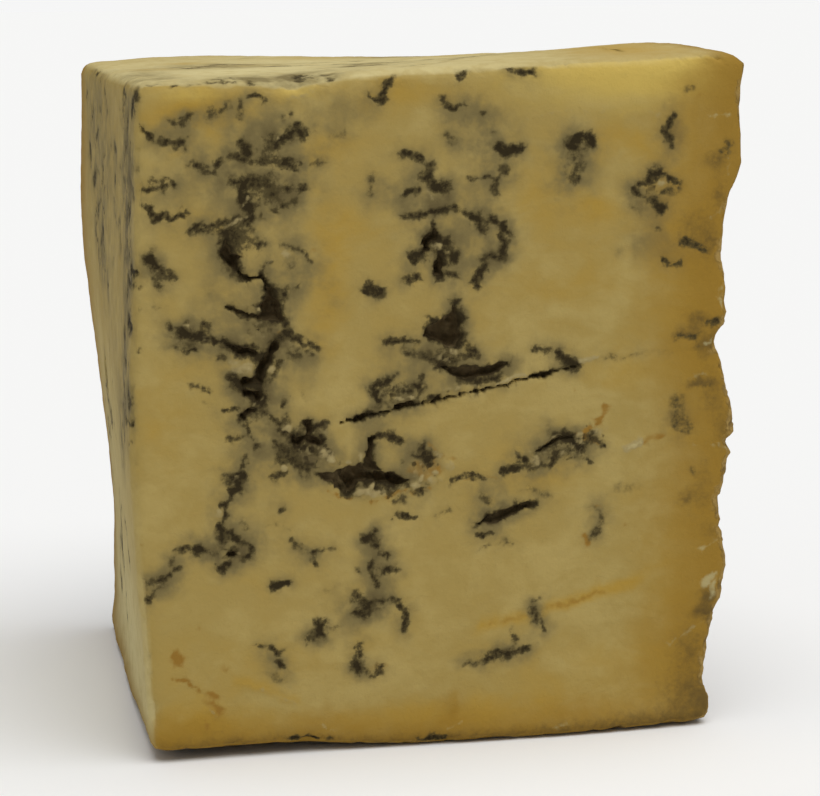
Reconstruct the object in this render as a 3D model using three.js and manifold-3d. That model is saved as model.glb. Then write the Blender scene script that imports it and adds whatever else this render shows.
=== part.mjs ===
// A quarter wedge of a blue-veined cheese wheel: the lower half of a drum-shaped wheel, cut into
// quarters through its axis. The point of the wedge stands at the front left. The front and left
// faces are the two upright cuts, the top is the level cut at half the wheel's height, and the
// curved back and the underside are the wheel's own rind. One piece, so one solid.
//
// The surface is worked out in the wheel's frame, with the wheel's axis on Z, the front cut along
// +X and the left cut along +Y. Millimetres, +Z up.

import * as THREE from "three";
import { mergeVertices } from "three/addons/utils/BufferGeometryUtils.js";
import Module from "manifold-3d";

const { clamp, lerp, smoothstep, degToRad, radToDeg } = THREE.MathUtils;

// Driving sizes
const wheelRadius = 100; // a full wheel is 200 mm across
const pointHeight = 112; // height of the piece at the point of the wedge
const topRise = { right: 2.7, back: 0.8 }; // the level cut climbs from the point to the rind
const edgeBlend = 1.7; // width over which two faces round into each other
const toeLift = { height: 1.5, inner: 22, outer: 46 }; // the crust is lifted under the point
// Waves of the level cut along the rind: bearing round the wheel in degrees, rise, and spread
const rimWaves = [
  { bearing: 15, rise: 2, spread: 14 },
  { bearing: 52, rise: -0.6, spread: 11 },
  { bearing: 80, rise: 0.6, spread: 9 },
];

// The upright cuts wander off their planes by a few millimetres, as a wire leaves them
const pointBulge = { out: 2.5, height: 49, spread: 36 };
const backDrift = { high: -0.7, low: 2.7, from: 78, to: 28 };
const footLip = { out: 1, spread: 6 }; // the crust spreads a little under the left cut
const frontSway = { depth: 0.7, length: 74 };
const topChip = { x: 25, width: 7, depth: 1.5, reach: 9 };

// The rind stands out as a collar near the level cut and draws in to a foot at the base
const rindSteps = {
  collarOut: 0.9,
  waistIn: 2.3,
  waistFrom: 97,
  waistTo: 89,
  footIn: 2.5,
  footFrom: 25,
  footTo: 15,
};
// Folds and creases that run round the rind: height, how far each stands out, and its spread
const rindFolds = [
  { height: 82, out: -0.7, spread: 5 },
  { height: 67.5, out: -2.4, spread: 2.2 },
  { height: 51.5, out: 1.9, spread: 5.5 },
  { height: 49, out: -0.8, spread: 1.4 },
  { height: 37, out: -1, spread: 4 },
  { height: 28.5, out: 0.9, spread: 3.4 },
  { height: 9, out: -0.5, spread: 4 },
];
// Round the arc each fold climbs and sinks, fades and comes back. A turn is an angle of its wave
// per angle of bearing, and steps up from one fold to the next so that no two run alike.
const foldSway = { climb: 6, climbTurn: 1.3, climbStep: 0.37, kept: 0.4, fadeTurn: 2.3, fadeStep: 0.9 };
const rindBulge = { depth: 1.1, turn: 2.7 };

// Fissures open on the front cut: centre, length, opening, depth and slope in degrees
const fissures = [
  { x: 49.3, z: 72, length: 7.6, opening: 4.8, depth: 4.5, slope: 38 }, // pocket
  { x: 34.5, z: 46.2, length: 14, opening: 2.6, depth: 4.5, slope: -12 }, // mouth
  { x: 37, z: 50.5, length: 8, opening: 1.5, depth: 3, slope: 72 }, // stem over the mouth
  { x: 15.8, z: 84, length: 8.5, opening: 2.8, depth: 4, slope: -70 }, // top of the spine
  { x: 20.6, z: 76, length: 7.5, opening: 2.8, depth: 4, slope: 68 },
  { x: 19.4, z: 66.5, length: 10.5, opening: 2.4, depth: 4, slope: 74 },
  { x: 54.6, z: 63.6, length: 12, opening: 2, depth: 3, slope: 2 }, // leaf under the pocket
  { x: 60.4, z: 39.1, length: 10, opening: 1.6, depth: 3, slope: 17 }, // low slit
  { x: 53.5, z: 60.3, length: 42, opening: 0.9, depth: 4, slope: 11.5 }, // long crack
];

// Grid of the block that is drawn onto the surface: cells along each cut and up the wedge
const cells = { across: 18, up: 42 };
const edgeRow = 1.6; // distance of the first and last grid row from the edges

const hump = (t) => Math.exp(-t * t); // 1 at t = 0, dying away on both sides

// The larger of two levels, rounded where they cross
function blend(a, b) {
  const near = Math.max(edgeBlend - Math.abs(a - b), 0);
  return Math.max(a, b) + (near * near) / (4 * edgeBlend);
}

// How far the left cut lies from the plane X = 0
function leftCut(y, z) {
  const atPoint = -pointBulge.out * hump((z - pointBulge.height) / pointBulge.spread);
  const atRind = lerp(backDrift.low, backDrift.high, smoothstep(z, backDrift.to, backDrift.from));
  const along = clamp(y / wheelRadius, 0, 1);
  const lip = footLip.out * hump(z / footLip.spread) * Math.sin(Math.PI * along);
  return lerp(atPoint, atRind, along) - lip;
}

// How far the front cut lies from the plane Y = 0
function frontCut(x, z) {
  const across = Math.sin((2 * Math.PI * (x + 0.4 * z)) / frontSway.length);
  return 0.5 * frontSway.depth * (1 + across);
}

function topCut(x, y) {
  const bearing = radToDeg(Math.atan2(y, x));
  const nearRind = (x * x + y * y) / wheelRadius ** 2;
  const chip = topChip.depth * hump((x - topChip.x) / topChip.width) * hump(y / topChip.reach);
  return rimWaves.reduce(
    (level, wave) => level + nearRind * wave.rise * hump((bearing - wave.bearing) / wave.spread),
    pointHeight + (topRise.right * x + topRise.back * y) / wheelRadius - chip,
  );
}

function underside(x, y) {
  return toeLift.height * (1 - smoothstep(Math.hypot(x, y), toeLift.inner, toeLift.outer));
}

// Radius of the rind at a bearing round the wheel and a height
function rindRadius(bearing, z) {
  const { collarOut, waistIn, waistFrom, waistTo, footIn, footFrom, footTo } = rindSteps;
  const waist = waistIn * (1 - smoothstep(z, waistTo, waistFrom));
  const foot = footIn * (1 - smoothstep(z, footTo, footFrom));
  const bulge = Math.sin(rindBulge.turn * bearing) * Math.sin((Math.PI * z) / pointHeight);
  const { climb, climbTurn, climbStep, kept, fadeTurn, fadeStep } = foldSway;
  return rindFolds.reduce((radius, fold, i) => {
    const height = fold.height + climb * Math.sin(bearing * (climbTurn + climbStep * i));
    const fade = kept + (1 - kept) * Math.cos(bearing * (fadeTurn + fadeStep * i));
    return radius + fold.out * fade * hump((z - height) / fold.spread);
  }, wheelRadius + collarOut - waist - foot - rindBulge.depth * bulge);
}

// Distance outside the wedge, roughly: the five faces rounded into each other
function outside(p) {
  const bearing = Math.atan2(p.y, p.x);
  return [
    frontCut(p.x, p.z) - p.y,
    leftCut(p.y, p.z) - p.x,
    p.z - topCut(p.x, p.y),
    underside(p.x, p.y) - p.z,
    Math.hypot(p.x, p.y) - rindRadius(bearing, p.z),
  ].reduce(blend);
}

// Walks a point down the slope of outside() until it lies on the surface
function drawOntoSurface(p) {
  const step = 0.01;
  const probe = new THREE.Vector3();
  const slope = new THREE.Vector3();
  for (let round = 0; round < 12; round++) {
    const here = outside(p);
    for (const axis of ["x", "y", "z"]) {
      probe.copy(p)[axis] += step;
      slope[axis] = (outside(probe) - here) / step;
    }
    p.addScaledVector(slope, -here / slope.lengthSq());
  }
}

// Share of a length at which grid row i of n lies: one row close to each end, the rest even
function rowShare(i, n, length) {
  if (i === 0 || i === n) return i / n;
  const margin = edgeRow / length;
  return lerp(margin, 1 - margin, (i - 1) / (n - 2));
}

// A gridded block bent into a quarter disc, then drawn onto the wedge's surface
function wedgeBody() {
  const { across, up } = cells;
  const block = new THREE.BoxGeometry(1, 1, 1, across, across, up).translate(0.5, 0.5, 0.5);
  block.deleteAttribute("normal");
  block.deleteAttribute("uv");
  const body = mergeVertices(block);
  const places = body.attributes.position;
  const p = new THREE.Vector3();
  for (let i = 0; i < places.count; i++) {
    p.fromBufferAttribute(places, i);
    const u = rowShare(Math.round(p.x * across), across, wheelRadius);
    const v = rowShare(Math.round(p.y * across), across, wheelRadius);
    const w = rowShare(Math.round(p.z * up), up, pointHeight);
    const discX = u * Math.sqrt(1 - (v * v) / 2);
    const discY = v * Math.sqrt(1 - (u * u) / 2);
    const planX = discX * wheelRadius;
    const planY = discY * wheelRadius;
    const z = lerp(underside(planX, planY), topCut(planX, planY), w);
    const reach = rindRadius(Math.atan2(discY, discX), z);
    const x = discX * reach;
    const y = discY * reach;
    p.set(x + leftCut(y, z) * (1 - u), y + frontCut(x, z) * (1 - v), z);
    drawOntoSurface(p);
    places.setXYZ(i, p.x, p.y, p.z);
  }
  return body;
}

// A flat lens-shaped opening that reaches into the front cut
function fissureTool({ x, z, length, opening, depth, slope }) {
  const lens = new THREE.SphereGeometry(1, 10, 7);
  lens.deleteAttribute("normal");
  lens.deleteAttribute("uv");
  return mergeVertices(lens, 1e-3)
    .scale(length / 2, depth, opening / 2)
    .rotateY(-degToRad(slope))
    .translate(x, frontCut(x, z), z);
}

const wasm = await Module();
wasm.setup();

function toSolid(geometry) {
  return new wasm.Manifold(
    new wasm.Mesh({
      numProp: 3,
      vertProperties: geometry.attributes.position.array,
      triVerts: new Uint32Array(geometry.index.array),
    }),
  );
}

function toGeometry(solid) {
  const { vertProperties, triVerts } = solid.getMesh();
  const geometry = new THREE.BufferGeometry()
    .setAttribute("position", new THREE.BufferAttribute(vertProperties, 3))
    .setIndex(new THREE.BufferAttribute(triVerts, 1));
  geometry.computeVertexNormals();
  geometry.computeBoundingBox();
  return geometry;
}

const solid = fissures.reduce(
  (left, fissure) => left.subtract(toSolid(fissureTool(fissure))),
  toSolid(wedgeBody()),
);
const geometry = toGeometry(solid);

const cheese = new THREE.MeshStandardMaterial({ color: 0xa08a4e, roughness: 0.55, metalness: 0 });
const wedge = new THREE.Mesh(geometry, cheese);
wedge.name = "wedge";

// The origin of the part is the middle of its footprint, on the surface that it stands on
const middle = geometry.boundingBox.getCenter(new THREE.Vector3());
wedge.position.set(-middle.x, -middle.y, 0);

const part = new THREE.Group();
part.add(wedge);
export default part;
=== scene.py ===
import math

import bmesh
import bpy
import numpy as np
from mathutils import Matrix, Vector, kdtree, noise


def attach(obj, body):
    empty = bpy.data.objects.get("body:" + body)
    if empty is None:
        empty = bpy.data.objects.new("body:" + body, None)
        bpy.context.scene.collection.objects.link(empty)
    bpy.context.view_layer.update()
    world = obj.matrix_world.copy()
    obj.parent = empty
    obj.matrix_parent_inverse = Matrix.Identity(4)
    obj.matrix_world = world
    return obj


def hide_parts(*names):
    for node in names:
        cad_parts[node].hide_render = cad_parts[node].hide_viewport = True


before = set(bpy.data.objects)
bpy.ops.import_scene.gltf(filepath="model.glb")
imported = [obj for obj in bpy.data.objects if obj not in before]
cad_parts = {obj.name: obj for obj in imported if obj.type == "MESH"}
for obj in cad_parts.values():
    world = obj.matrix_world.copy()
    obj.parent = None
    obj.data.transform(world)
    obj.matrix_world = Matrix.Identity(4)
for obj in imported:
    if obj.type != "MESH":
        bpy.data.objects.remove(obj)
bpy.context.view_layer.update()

mm = 0.001

# A quarter of a blue cheese wheel. Its places are given in the wheel's own millimetres: the wheel's
# axis stands on Z, the front cut runs along +X and the left cut along +Y.
wheelAxis = (-49.2136, -50.6724, 0.0)

body = {
    "merge": 0.001,  # mm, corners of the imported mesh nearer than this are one
    "voxel": 1.16,  # mm, grid of the remeshed wedge
    "evenOut": (3, 0.5),  # rounds of smoothing after the remesh, and their strength
    "frontSway": (0.35, 74.0, 0.4),  # half depth, wave length and slant of the front cut
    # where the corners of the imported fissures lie: x, y behind the front cut, and z
    "fissures": ((5, 90), (0.25, 8), (5, 105)),
    # mm around veins and marks where the grid is split, and split again
    "fineReach": [{"front": 1.3, "left": 0.8, "top": 0.5}, {"front": 0.35}],
    "fineShare": 0.2,  # least share of a cut at a point for its grid to be split
    "fineEdge": (0.94, 3.0),  # split too where faces meet, below this share and above this height
}

# Veins of the front cut, in groups: width in mm, darkness, then points (x, z)
veinStrokes = {
    "upperLeft": [
        (0.4, 0.5, (1.5, 111.5), (6, 111.5), (11, 112)),
        (0.8, 0.75, (-0.5, 105.5), (1, 104.5), (2.5, 103)),
        (1, 0.75, (3.5, 102.5), (5, 102.5), (7.5, 102.5)), (0.7, 0.4, (7.5, 102.5), (7.5, 101)),
        (1.3, 0.85, (5.5, 105.5), (7, 105.5)), (1, 0.85, (8, 106), (9, 106.5)),
        (1.5, 0.55, (11.5, 106.5), (13, 107), (14.5, 108)), (1, 0.45, (16.5, 108.5), (16.5, 106)),
        (1, 0.9, (18.5, 109.5), (20.5, 109)), (0.8, 0.45, (23.5, 106), (25, 106.5)),
        (1.3, 0.85, (16.5, 102), (18, 100.5)), (1.3, 0.5, (21.5, 103), (21, 101), (20.5, 99.5)),
        (1.2, 0.6, (15, 100), (18.5, 99), (21.5, 99), (26, 98.5)),
        (1, 0.75, (9, 98.5), (9.5, 98.5), (12, 97.5), (13.5, 99.5)), (2, 0.75, (14.5, 96), (17, 96)),
        (1.7, 0.85, (17, 96), (17, 93.5)), (2.4, 0.7, (18.5, 95.5), (20.5, 95), (22, 93.5)),
        (1, 0.7, (0, 95.5), (1, 95), (3.5, 95), (5.5, 96)), (0.8, 0.6, (3.5, 95.5), (4, 97), (5.5, 96)),
        (1, 0.75, (-0.5, 92.5), (1.5, 92), (2, 90), (4, 91), (5, 90), (7, 91)),
        (1, 0.75, (8, 88), (10, 89.5), (11, 88.5), (13.5, 89.5), (16, 90)),
        (0.7, 0.7, (8, 88), (10.5, 88), (13.5, 88), (16, 88.5)),
        (1.3, 0.9, (17.5, 92), (18, 90.5), (17, 89)), (2.7, 0.8, (14.5, 87.5), (14, 85.5)),
        (2.4, 0.95, (13.5, 85), (13.5, 83), (15, 82)), (1, 0.6, (18.5, 85), (19.5, 85.5)),
        (1, 0.5, (15.5, 88.5), (18, 88)), (1.5, 0.9, (1.5, 84), (2.5, 82.5)),
        (1.3, 0.5, (2, 81), (3, 79.5)), (1.8, 0.5, (2.5, 82), (5, 81)),
    ],
    "upperMid": [
        (1.3, 0.85, (22.5, 102), (24.5, 103.5)), (2, 0.8, (24.5, 103.5), (27, 103.5)),
        (1.3, 0.45, (31.5, 103), (33.5, 103)), (1.2, 0.35, (28, 98.5), (29.5, 98.5)),
        (1.8, 0.85, (23.5, 98.5), (25, 98)), (1.3, 0.8, (24, 94.5), (24, 94.5)),
        (1.3, 0.8, (26.5, 94.5), (26.5, 94.5)), (1.2, 0.7, (21.5, 91), (23, 91.5), (25, 92.5)),
        (1.2, 0.5, (23.5, 85.5), (26.5, 84.5), (27.5, 83)), (1, 0.5, (26.5, 112.5), (26.5, 112)),
        (1, 0.75, (41.5, 111.5), (40.5, 111), (40, 109.5), (39.5, 108), (38, 109)),
        (0.7, 0.75, (52.5, 112), (53.5, 113)),
        (1, 0.8, (49.5, 108.5), (50.5, 107), (52, 107), (53.5, 107.5)),
        (1.2, 0.6, (56.5, 106), (57, 106)), (0.8, 0.5, (58.5, 103), (59, 103)),
        (1.2, 0.35, (50.5, 102.5), (51.5, 101.5)), (1.2, 0.9, (43, 100), (44.5, 99.5), (46, 99)),
        (1.5, 0.35, (38, 96.5), (37.5, 93.5)),
        (1.8, 0.75, (47.5, 97), (47, 95.5), (48.5, 94.5), (50, 94)),
        (1.3, 0.75, (43.5, 93.5), (45.5, 94)), (1.2, 0.95, (59, 100.5), (60, 99.5), (62.5, 100)),
        (0.8, 0.6, (54, 95.5), (56.5, 95.5), (59, 95.5), (61, 96.5)), (1, 0.65, (58.5, 95), (58.5, 93)),
        (1.3, 0.45, (59.5, 97), (61, 96)), (1.2, 0.85, (61, 113.5), (62, 113), (64.5, 112.5)),
        (1, 0.8, (43.5, 89.5), (45, 89.5), (48, 90)), (1.2, 0.7, (48, 90), (50.5, 91)),
        (1, 0.75, (50.5, 91), (53.5, 90), (56, 89)), (1.7, 0.9, (56, 89), (56.5, 87)),
        (1.3, 0.85, (58, 88.5), (60, 87.5), (60.5, 86.5)),
        (1.3, 0.85, (59, 86), (60.5, 84.5), (59.5, 82.5)), (1.2, 0.85, (59.5, 82.5), (58, 82.5)),
        (1.3, 0.8, (57, 82.5), (56.5, 81), (55, 78)), (1, 0.85, (48, 88), (48, 86.5)),
        (2.7, 1, (47, 86), (48, 85.5)), (1.5, 0.9, (47.5, 84.5), (44.5, 82.5)),
        (1.5, 1, (49.5, 83), (49, 79.5)), (1.8, 0.75, (50.5, 85), (51.5, 82.5)),
        (1, 0.75, (50, 80), (52, 79.5)), (1.8, 0.8, (37, 78), (38.5, 77)),
        (1.3, 0.75, (43.5, 79), (45, 79.5)),
    ],
    "right": [
        (2, 0.98, (71.5, 100), (73, 102), (75, 101)), (2, 0.55, (71.5, 99), (72.5, 97), (72, 95)),
        (1.2, 0.45, (73.5, 98.5), (73.5, 96.5)), (1.2, 0.7, (88.5, 105), (87, 102.5), (88, 100)),
        (1.3, 0.3, (91, 109.5), (91.5, 109.5)), (1, 0.9, (82, 93), (84, 94), (86, 96)),
        (0.8, 0.8, (86, 96), (88, 94.5), (89, 93.5)), (0.8, 0.6, (88.5, 93), (86.5, 92.5)),
        (1.5, 0.85, (82, 93), (84, 91.5), (86.5, 89.5)), (0.7, 0.7, (84, 94), (84.5, 92.5)),
        (1.3, 0.35, (81.5, 90), (83, 89.5)), (1, 0.55, (86, 86), (86.5, 86)),
        (1.3, 0.55, (90.5, 84), (93, 83), (94.5, 82)), (1, 0.65, (87, 81), (88.5, 80.5), (90, 80.5)),
        (2, 0.22, (79.5, 83), (79.5, 82.5)), (2, 0.35, (97.5, 100), (97, 99)),
        (1, 0.5, (89.5, 68), (92.5, 68)), (1.2, 0.5, (93.5, 70), (96.5, 70.5)),
        (3.2, 0.3, (89, 56.5), (89.5, 54), (91, 52)), (1, 0.4, (94, 59.5), (95, 59.5)),
        (1.5, 0.3, (92, 45), (92.5, 44.5)), (1, 0.4, (94.5, 19), (95.5, 19)),
    ],
    "pocket": [
        (2.9, 1, (47.5, 70), (50, 71.5), (51, 72.5)), (2.2, 1, (52, 73), (52, 69)),
        (2.2, 1, (49, 69.5), (51, 68.5)), (1, 0.95, (51.5, 75), (52, 73)), (1, 0.6, (47, 73), (47.5, 73)),
        (1, 0.85, (39.5, 69), (42, 69), (45.5, 69)), (1.5, 0.5, (42.5, 67.5), (46, 66)),
        (1.7, 0.6, (46, 66.5), (49, 65.5), (52, 65.5), (55, 66)), (1.2, 0.7, (54, 67.5), (55.5, 66)),
        (1.3, 1, (49, 64.5), (51.5, 64), (55, 63.5), (58, 64), (61, 64.5)),
        (1.5, 0.75, (52.5, 62.5), (56.5, 62), (60, 63)), (1, 0.8, (38, 62), (41, 63)),
        (1.2, 0.9, (38, 61), (38.5, 59.5)), (1.2, 0.9, (41.5, 60.5), (44, 61), (45.5, 61.5), (46, 63)),
        (1, 0.85, (45.5, 61), (44.5, 59)), (1.3, 0.3, (38.5, 58.5), (41, 58.5)),
    ],
    "crack": [
        (0.4, 0.5, (32.5, 56), (34.5, 56)), (1.2, 1, (34.5, 56.5), (37, 57)),
        (0.6, 0.7, (38, 57), (39, 57)), (0.3, 0.5, (36, 56.5), (41.5, 57.5)),
        (1, 1, (41.5, 58), (44.5, 58.5)), (0.3, 0.6, (43.5, 58.5), (47, 59)),
        (0.7, 0.9, (47, 59.5), (48.5, 59.5)), (0.3, 0.6, (50, 59.5), (54, 60), (58, 60.5)),
        (0.2, 0.45, (58.5, 60.5), (62, 61)), (0.5, 0.8, (64.5, 62), (66, 62.5), (68.5, 63)),
        (0.3, 0.5, (68.5, 63), (72.5, 64)), (0.6, 0.25, (72.5, 64), (77, 65)),
        (0.9, 0.3, (77, 65), (80, 65), (83.5, 65.5)), (1.5, 0.15, (83.5, 65.5), (90.5, 65.5), (94, 66)),
        (1.3, 0.6, (65, 67), (67.5, 66.5)), (1.8, 0.85, (69.5, 66), (70.5, 64.5), (72, 63.5)),
    ],
    "mouth": [
        (1.2, 0.8, (28, 47.5), (30, 46.5), (32, 47)), (2.7, 1, (33, 47), (33.5, 45)),
        (2.4, 1, (33.5, 46.5), (37.5, 46), (41, 46)), (1.3, 0.95, (41, 45.5), (43.5, 45), (45.5, 44)),
        (1.5, 0.9, (36, 47), (37, 51)), (1, 0.9, (37, 51), (37.5, 53)),
        (1.2, 0.85, (37.5, 53), (38.5, 53.5), (40, 53.5), (42, 52.5)),
        (1.8, 0.9, (45.6, 51.5), (46.5, 49.2)), (1.3, 0.7, (44, 50), (45, 50)),
        (1, 0.65, (50.5, 45.5), (53.5, 46), (56, 45.5)), (1.2, 0.95, (26.5, 56.5), (27, 54.5)),
        (1, 0.8, (27, 55.5), (29.5, 56)), (2.2, 1, (24.5, 53.5), (25.5, 52), (28, 51.5)),
        (1.3, 0.9, (28, 51.5), (29, 53.5)), (0.5, 0.85, (22, 55), (25, 54.5)),
        (2.4, 0.6, (22, 51), (24, 50), (25.5, 48.5)), (1, 0.65, (20, 47.5), (22.5, 48)),
        (1, 0.7, (22.5, 59.5), (22.5, 59.5)), (1.3, 0.25, (26, 61.5), (26.5, 60)),
        (1, 0.6, (23, 57), (23, 56.5)), (1.3, 0.4, (41, 42.5), (42.5, 42.5)),
        (0.8, 0.75, (41, 40), (44, 39.5)), (1, 0.35, (48.5, 39.5), (50, 40.5)),
        (0.4, 0.55, (28.6, 53.2), (30.2, 50.9), (31.8, 49)), (1.5, 0.5, (56, 42), (57.5, 41.5)),
        (1.5, 1, (57, 38.5), (59, 39), (61.5, 40)), (0.8, 0.95, (55, 38), (57, 38.5)),
        (0.8, 1, (61.5, 40), (65, 40.5)), (0.7, 0.75, (55, 36), (57.5, 36)),
        (1, 0.3, (55.5, 33.5), (58, 34), (60.5, 34)), (1.7, 0.3, (64, 43.5), (66, 42.5), (68, 41.5)),
    ],
    "spine": [
        (0.6, 0.95, (14.5, 82.5), (15.5, 81), (17, 80), (19.5, 80.5)), (0.6, 0.7, (20, 82), (21, 83)),
        (0.8, 0.95, (19.5, 81), (20, 79.5), (20.5, 78.5)), (2.4, 0.97, (21, 78), (20.5, 76)),
        (3, 0.97, (20, 75), (21.5, 75)), (1.7, 0.8, (21.5, 73.5), (22.5, 73)),
        (0.7, 0.9, (14, 75.5), (16.5, 74), (19.5, 73.5), (21.5, 73.5)),
        (0.8, 0.75, (23, 76.5), (23.5, 78)), (0.8, 0.6, (25, 78.5), (25.5, 79)),
        (1.3, 0.75, (23, 71), (25.5, 70), (28.5, 68.5)), (1.5, 0.45, (23, 68), (25, 67.5)),
        (1, 0.5, (27, 68), (27.5, 67.5)), (1, 0.55, (18, 72.5), (19.5, 71.5)),
        (1, 0.4, (17, 72), (17.5, 71)), (2, 1, (21.5, 70), (20.5, 68), (19.5, 65.5), (18.5, 63)),
        (1.3, 0.9, (22.5, 70.5), (22, 70)), (1.2, 0.95, (14.5, 63.5), (16.5, 63), (18.5, 63)),
        (1.2, 0.8, (14.5, 64.5), (14.5, 63)), (1.3, 0.95, (16, 62.5), (16.5, 61), (18.5, 60)),
        (1.3, 0.95, (18.5, 62.5), (19, 60)), (1.7, 0.95, (18, 59), (15.5, 57.5)),
        (0.8, 0.7, (13, 59), (15.5, 59)), (0.8, 0.85, (17, 56.5), (17.5, 55), (18, 52.5)),
        (0.8, 0.55, (13.5, 54), (14.5, 54), (16, 54.5)), (0.7, 0.75, (22, 66.5), (21.5, 64), (20, 63)),
        (0.8, 0.65, (19.5, 58.5), (20.5, 57.5), (22, 56)), (0.7, 0.8, (22, 55), (23, 54.5)),
        (1, 0.65, (21, 53), (22.5, 52)), (1, 0.6, (4.5, 72.5), (4.5, 73)),
        (0.7, 0.6, (7, 73.5), (7.5, 73.5)), (1.2, 0.7, (10, 73), (10, 71.5)),
        (1, 0.95, (6, 71.5), (7.5, 71.5), (9.5, 71)), (1.2, 0.9, (9.5, 71), (11.5, 70), (13, 70)),
        (0.8, 0.6, (5, 70), (6.5, 68.5), (8.5, 69)), (2.4, 0.3, (6, 70), (8, 70)),
        (1.2, 0.95, (13, 70), (15.5, 68.5), (18.5, 67.5)), (1.5, 0.75, (16.5, 69), (18.5, 69)),
        (0.8, 0.6, (12, 68), (12.5, 67.5)), (1.3, 0.2, (11, 78), (11, 78)),
        (0.7, 0.5, (-1, 83), (-1, 82.5)), (0.7, 0.5, (-2, 80), (-2, 79.5)),
        (0.8, 0.45, (-0.5, 79), (0, 79)), (0.7, 0.4, (-0.5, 76), (0, 76)),
        (0.8, 0.45, (2, 76.5), (2.5, 76)), (0.8, 0.4, (-1, 69), (-0.5, 69)),
        (0.7, 0.45, (7.5, 63), (9, 63), (10.5, 62)), (0.8, 0.3, (9.5, 60.5), (10.5, 59.5)),
    ],
    "lowerLeft": [
        (0.8, 0.85, (16.5, 51), (15.5, 49), (14, 48)), (2.2, 0.9, (14, 48), (16, 47.5)),
        (1.7, 0.9, (15, 47), (15, 45.5)), (0.5, 0.85, (14.5, 45), (13, 43.5)),
        (1.3, 1, (12, 43), (12.5, 43)), (0.7, 0.85, (12.5, 42.5), (12.5, 40)),
        (1.2, 0.9, (12, 39.5), (12.5, 37)), (1, 0.8, (13, 38.5), (15, 37), (17, 36)),
        (1.2, 0.75, (17, 36), (16.5, 34.5), (15.5, 34)), (1.8, 1, (13, 34.5), (14, 35)),
        (1.3, 0.9, (12, 32.5), (13, 33)), (0.7, 0.6, (11, 33.5), (12, 32.5)),
        (1, 0.7, (5, 36), (8, 36), (11, 35.5), (13, 35.5)), (1.3, 0.9, (8, 36), (8.5, 35.5)),
        (1.3, 0.35, (4, 34), (4, 33)), (1.2, 0.85, (3.5, 32), (4.5, 32.5)),
        (0.8, 0.65, (-0.5, 30.5), (1.5, 31), (3.5, 32)), (1.3, 0.45, (2, 30.5), (0.5, 29), (-0.5, 28)),
        (0.8, 0.7, (-1, 27.5), (0, 28)), (0.7, 0.4, (-2, 31.5), (-0.5, 31)),
        (1, 0.95, (20.5, 29), (23, 29.5)), (1, 0.7, (21.5, 42), (22, 42)),
        (0.8, 0.3, (19, 39), (21.5, 39.5), (23.5, 38.5)), (1.2, 0.55, (23.5, 36.5), (24.5, 35.5)),
        (1.2, 0.7, (27, 34.5), (27.5, 32.5)), (1, 0.75, (27.5, 34.5), (29, 35), (30.5, 35)),
        (1, 0.35, (24.5, 35.5), (26.5, 34.5)), (1.3, 0.3, (15.5, 40.5), (16.5, 39)),
    ],
    "lowerMid": [
        (1.3, 0.9, (37.5, 37.5), (37, 36), (36, 36)), (1.2, 0.9, (37.5, 35.5), (38.5, 33.5), (39.5, 33)),
        (1, 0.9, (37, 32.5), (37, 30.5), (38, 28)), (0.8, 0.4, (34.5, 31.5), (35, 31)),
        (1.3, 0.85, (39.5, 30.5), (40.5, 31)), (1.7, 0.8, (34, 26), (36, 25)),
        (1.5, 0.8, (34, 24), (35.5, 23.5)), (1.5, 0.8, (36, 24.5), (37, 25)),
        (1.2, 0.75, (37.5, 25.5), (38.5, 25.5)),
        (1.2, 0.85, (40, 25.5), (42, 24.5), (42.5, 22.5), (42.5, 20.5)),
        (1.5, 0.8, (28.5, 22.5), (27.5, 20.5)), (1.5, 0.8, (26.5, 20), (28.5, 20)),
        (1.2, 0.45, (30, 21), (31.5, 21.5)), (1.2, 0.25, (29, 27.5), (30.5, 28)),
        (1.3, 0.85, (34.5, 18.5), (34.5, 16.5)), (1.5, 0.85, (34, 15), (34.5, 14)),
        (1.2, 0.55, (35, 13.5), (37, 13), (38.5, 14)), (1, 0.75, (18, 19), (19.5, 19), (21, 17.5)),
        (1, 0.75, (21, 16), (21.5, 15.5)), (1.5, 0.25, (20.5, 13.5), (21.5, 12.5)),
        (1.7, 0.35, (52.5, 13.5), (55, 14)), (1.7, 0.75, (56.5, 14), (58.5, 15), (60, 15.5)),
        (1.3, 0.95, (59, 15), (61, 15.5), (63.5, 15.5)), (1.3, 0.5, (61, 18.5), (61.5, 17.5)),
        (1.2, 0.6, (66, 24.5), (65, 23.5)), (1.7, 0.65, (64.5, 22.5), (65.5, 21.5)),
        (1.5, 0.85, (65.5, 20.5), (66.5, 19)), (1.8, 0.35, (60, 34.5), (61, 34)),
    ],
    "smile": [
        (1.2, 0.85, (59.5, 46.5), (62.5, 47)), (1.7, 0.92, (63, 48), (64, 47), (66, 47.5)),
        (1.3, 0.95, (65.5, 49), (67, 50), (68.5, 51)), (1.8, 0.92, (69.5, 51.5), (71.5, 51.5), (73, 50)),
        (1.5, 0.7, (71, 49), (73, 50)), (0.8, 0.6, (73.5, 51.5), (75, 51.5)),
        (1, 0.65, (75, 51), (77, 50)), (1.3, 0.75, (68, 47.5), (69, 48)),
        (0.8, 0.7, (74.5, 47.5), (75, 47)), (2.7, 0.25, (69.5, 48.5), (73.5, 48)),
        (2.4, 0.22, (67.5, 54), (67.5, 53.5)), (1.3, 0.35, (75, 39.5), (76.5, 38.5), (77, 36.5)),
        (1.5, 0.4, (76, 35.5), (75, 34)), (2.4, 0.22, (80, 42.5), (82.5, 42.5)),
    ],
    "bottomEdge": [
        (1.5, 0.95, (23.5, 2.5), (27, 2)), (1, 0.7, (27.5, 1.5), (29.5, 1.5)),
        (1, 0.9, (44, 0.5), (49, 1)), (0.8, 0.6, (13, 2), (15, 2)),
    ],
}

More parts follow.
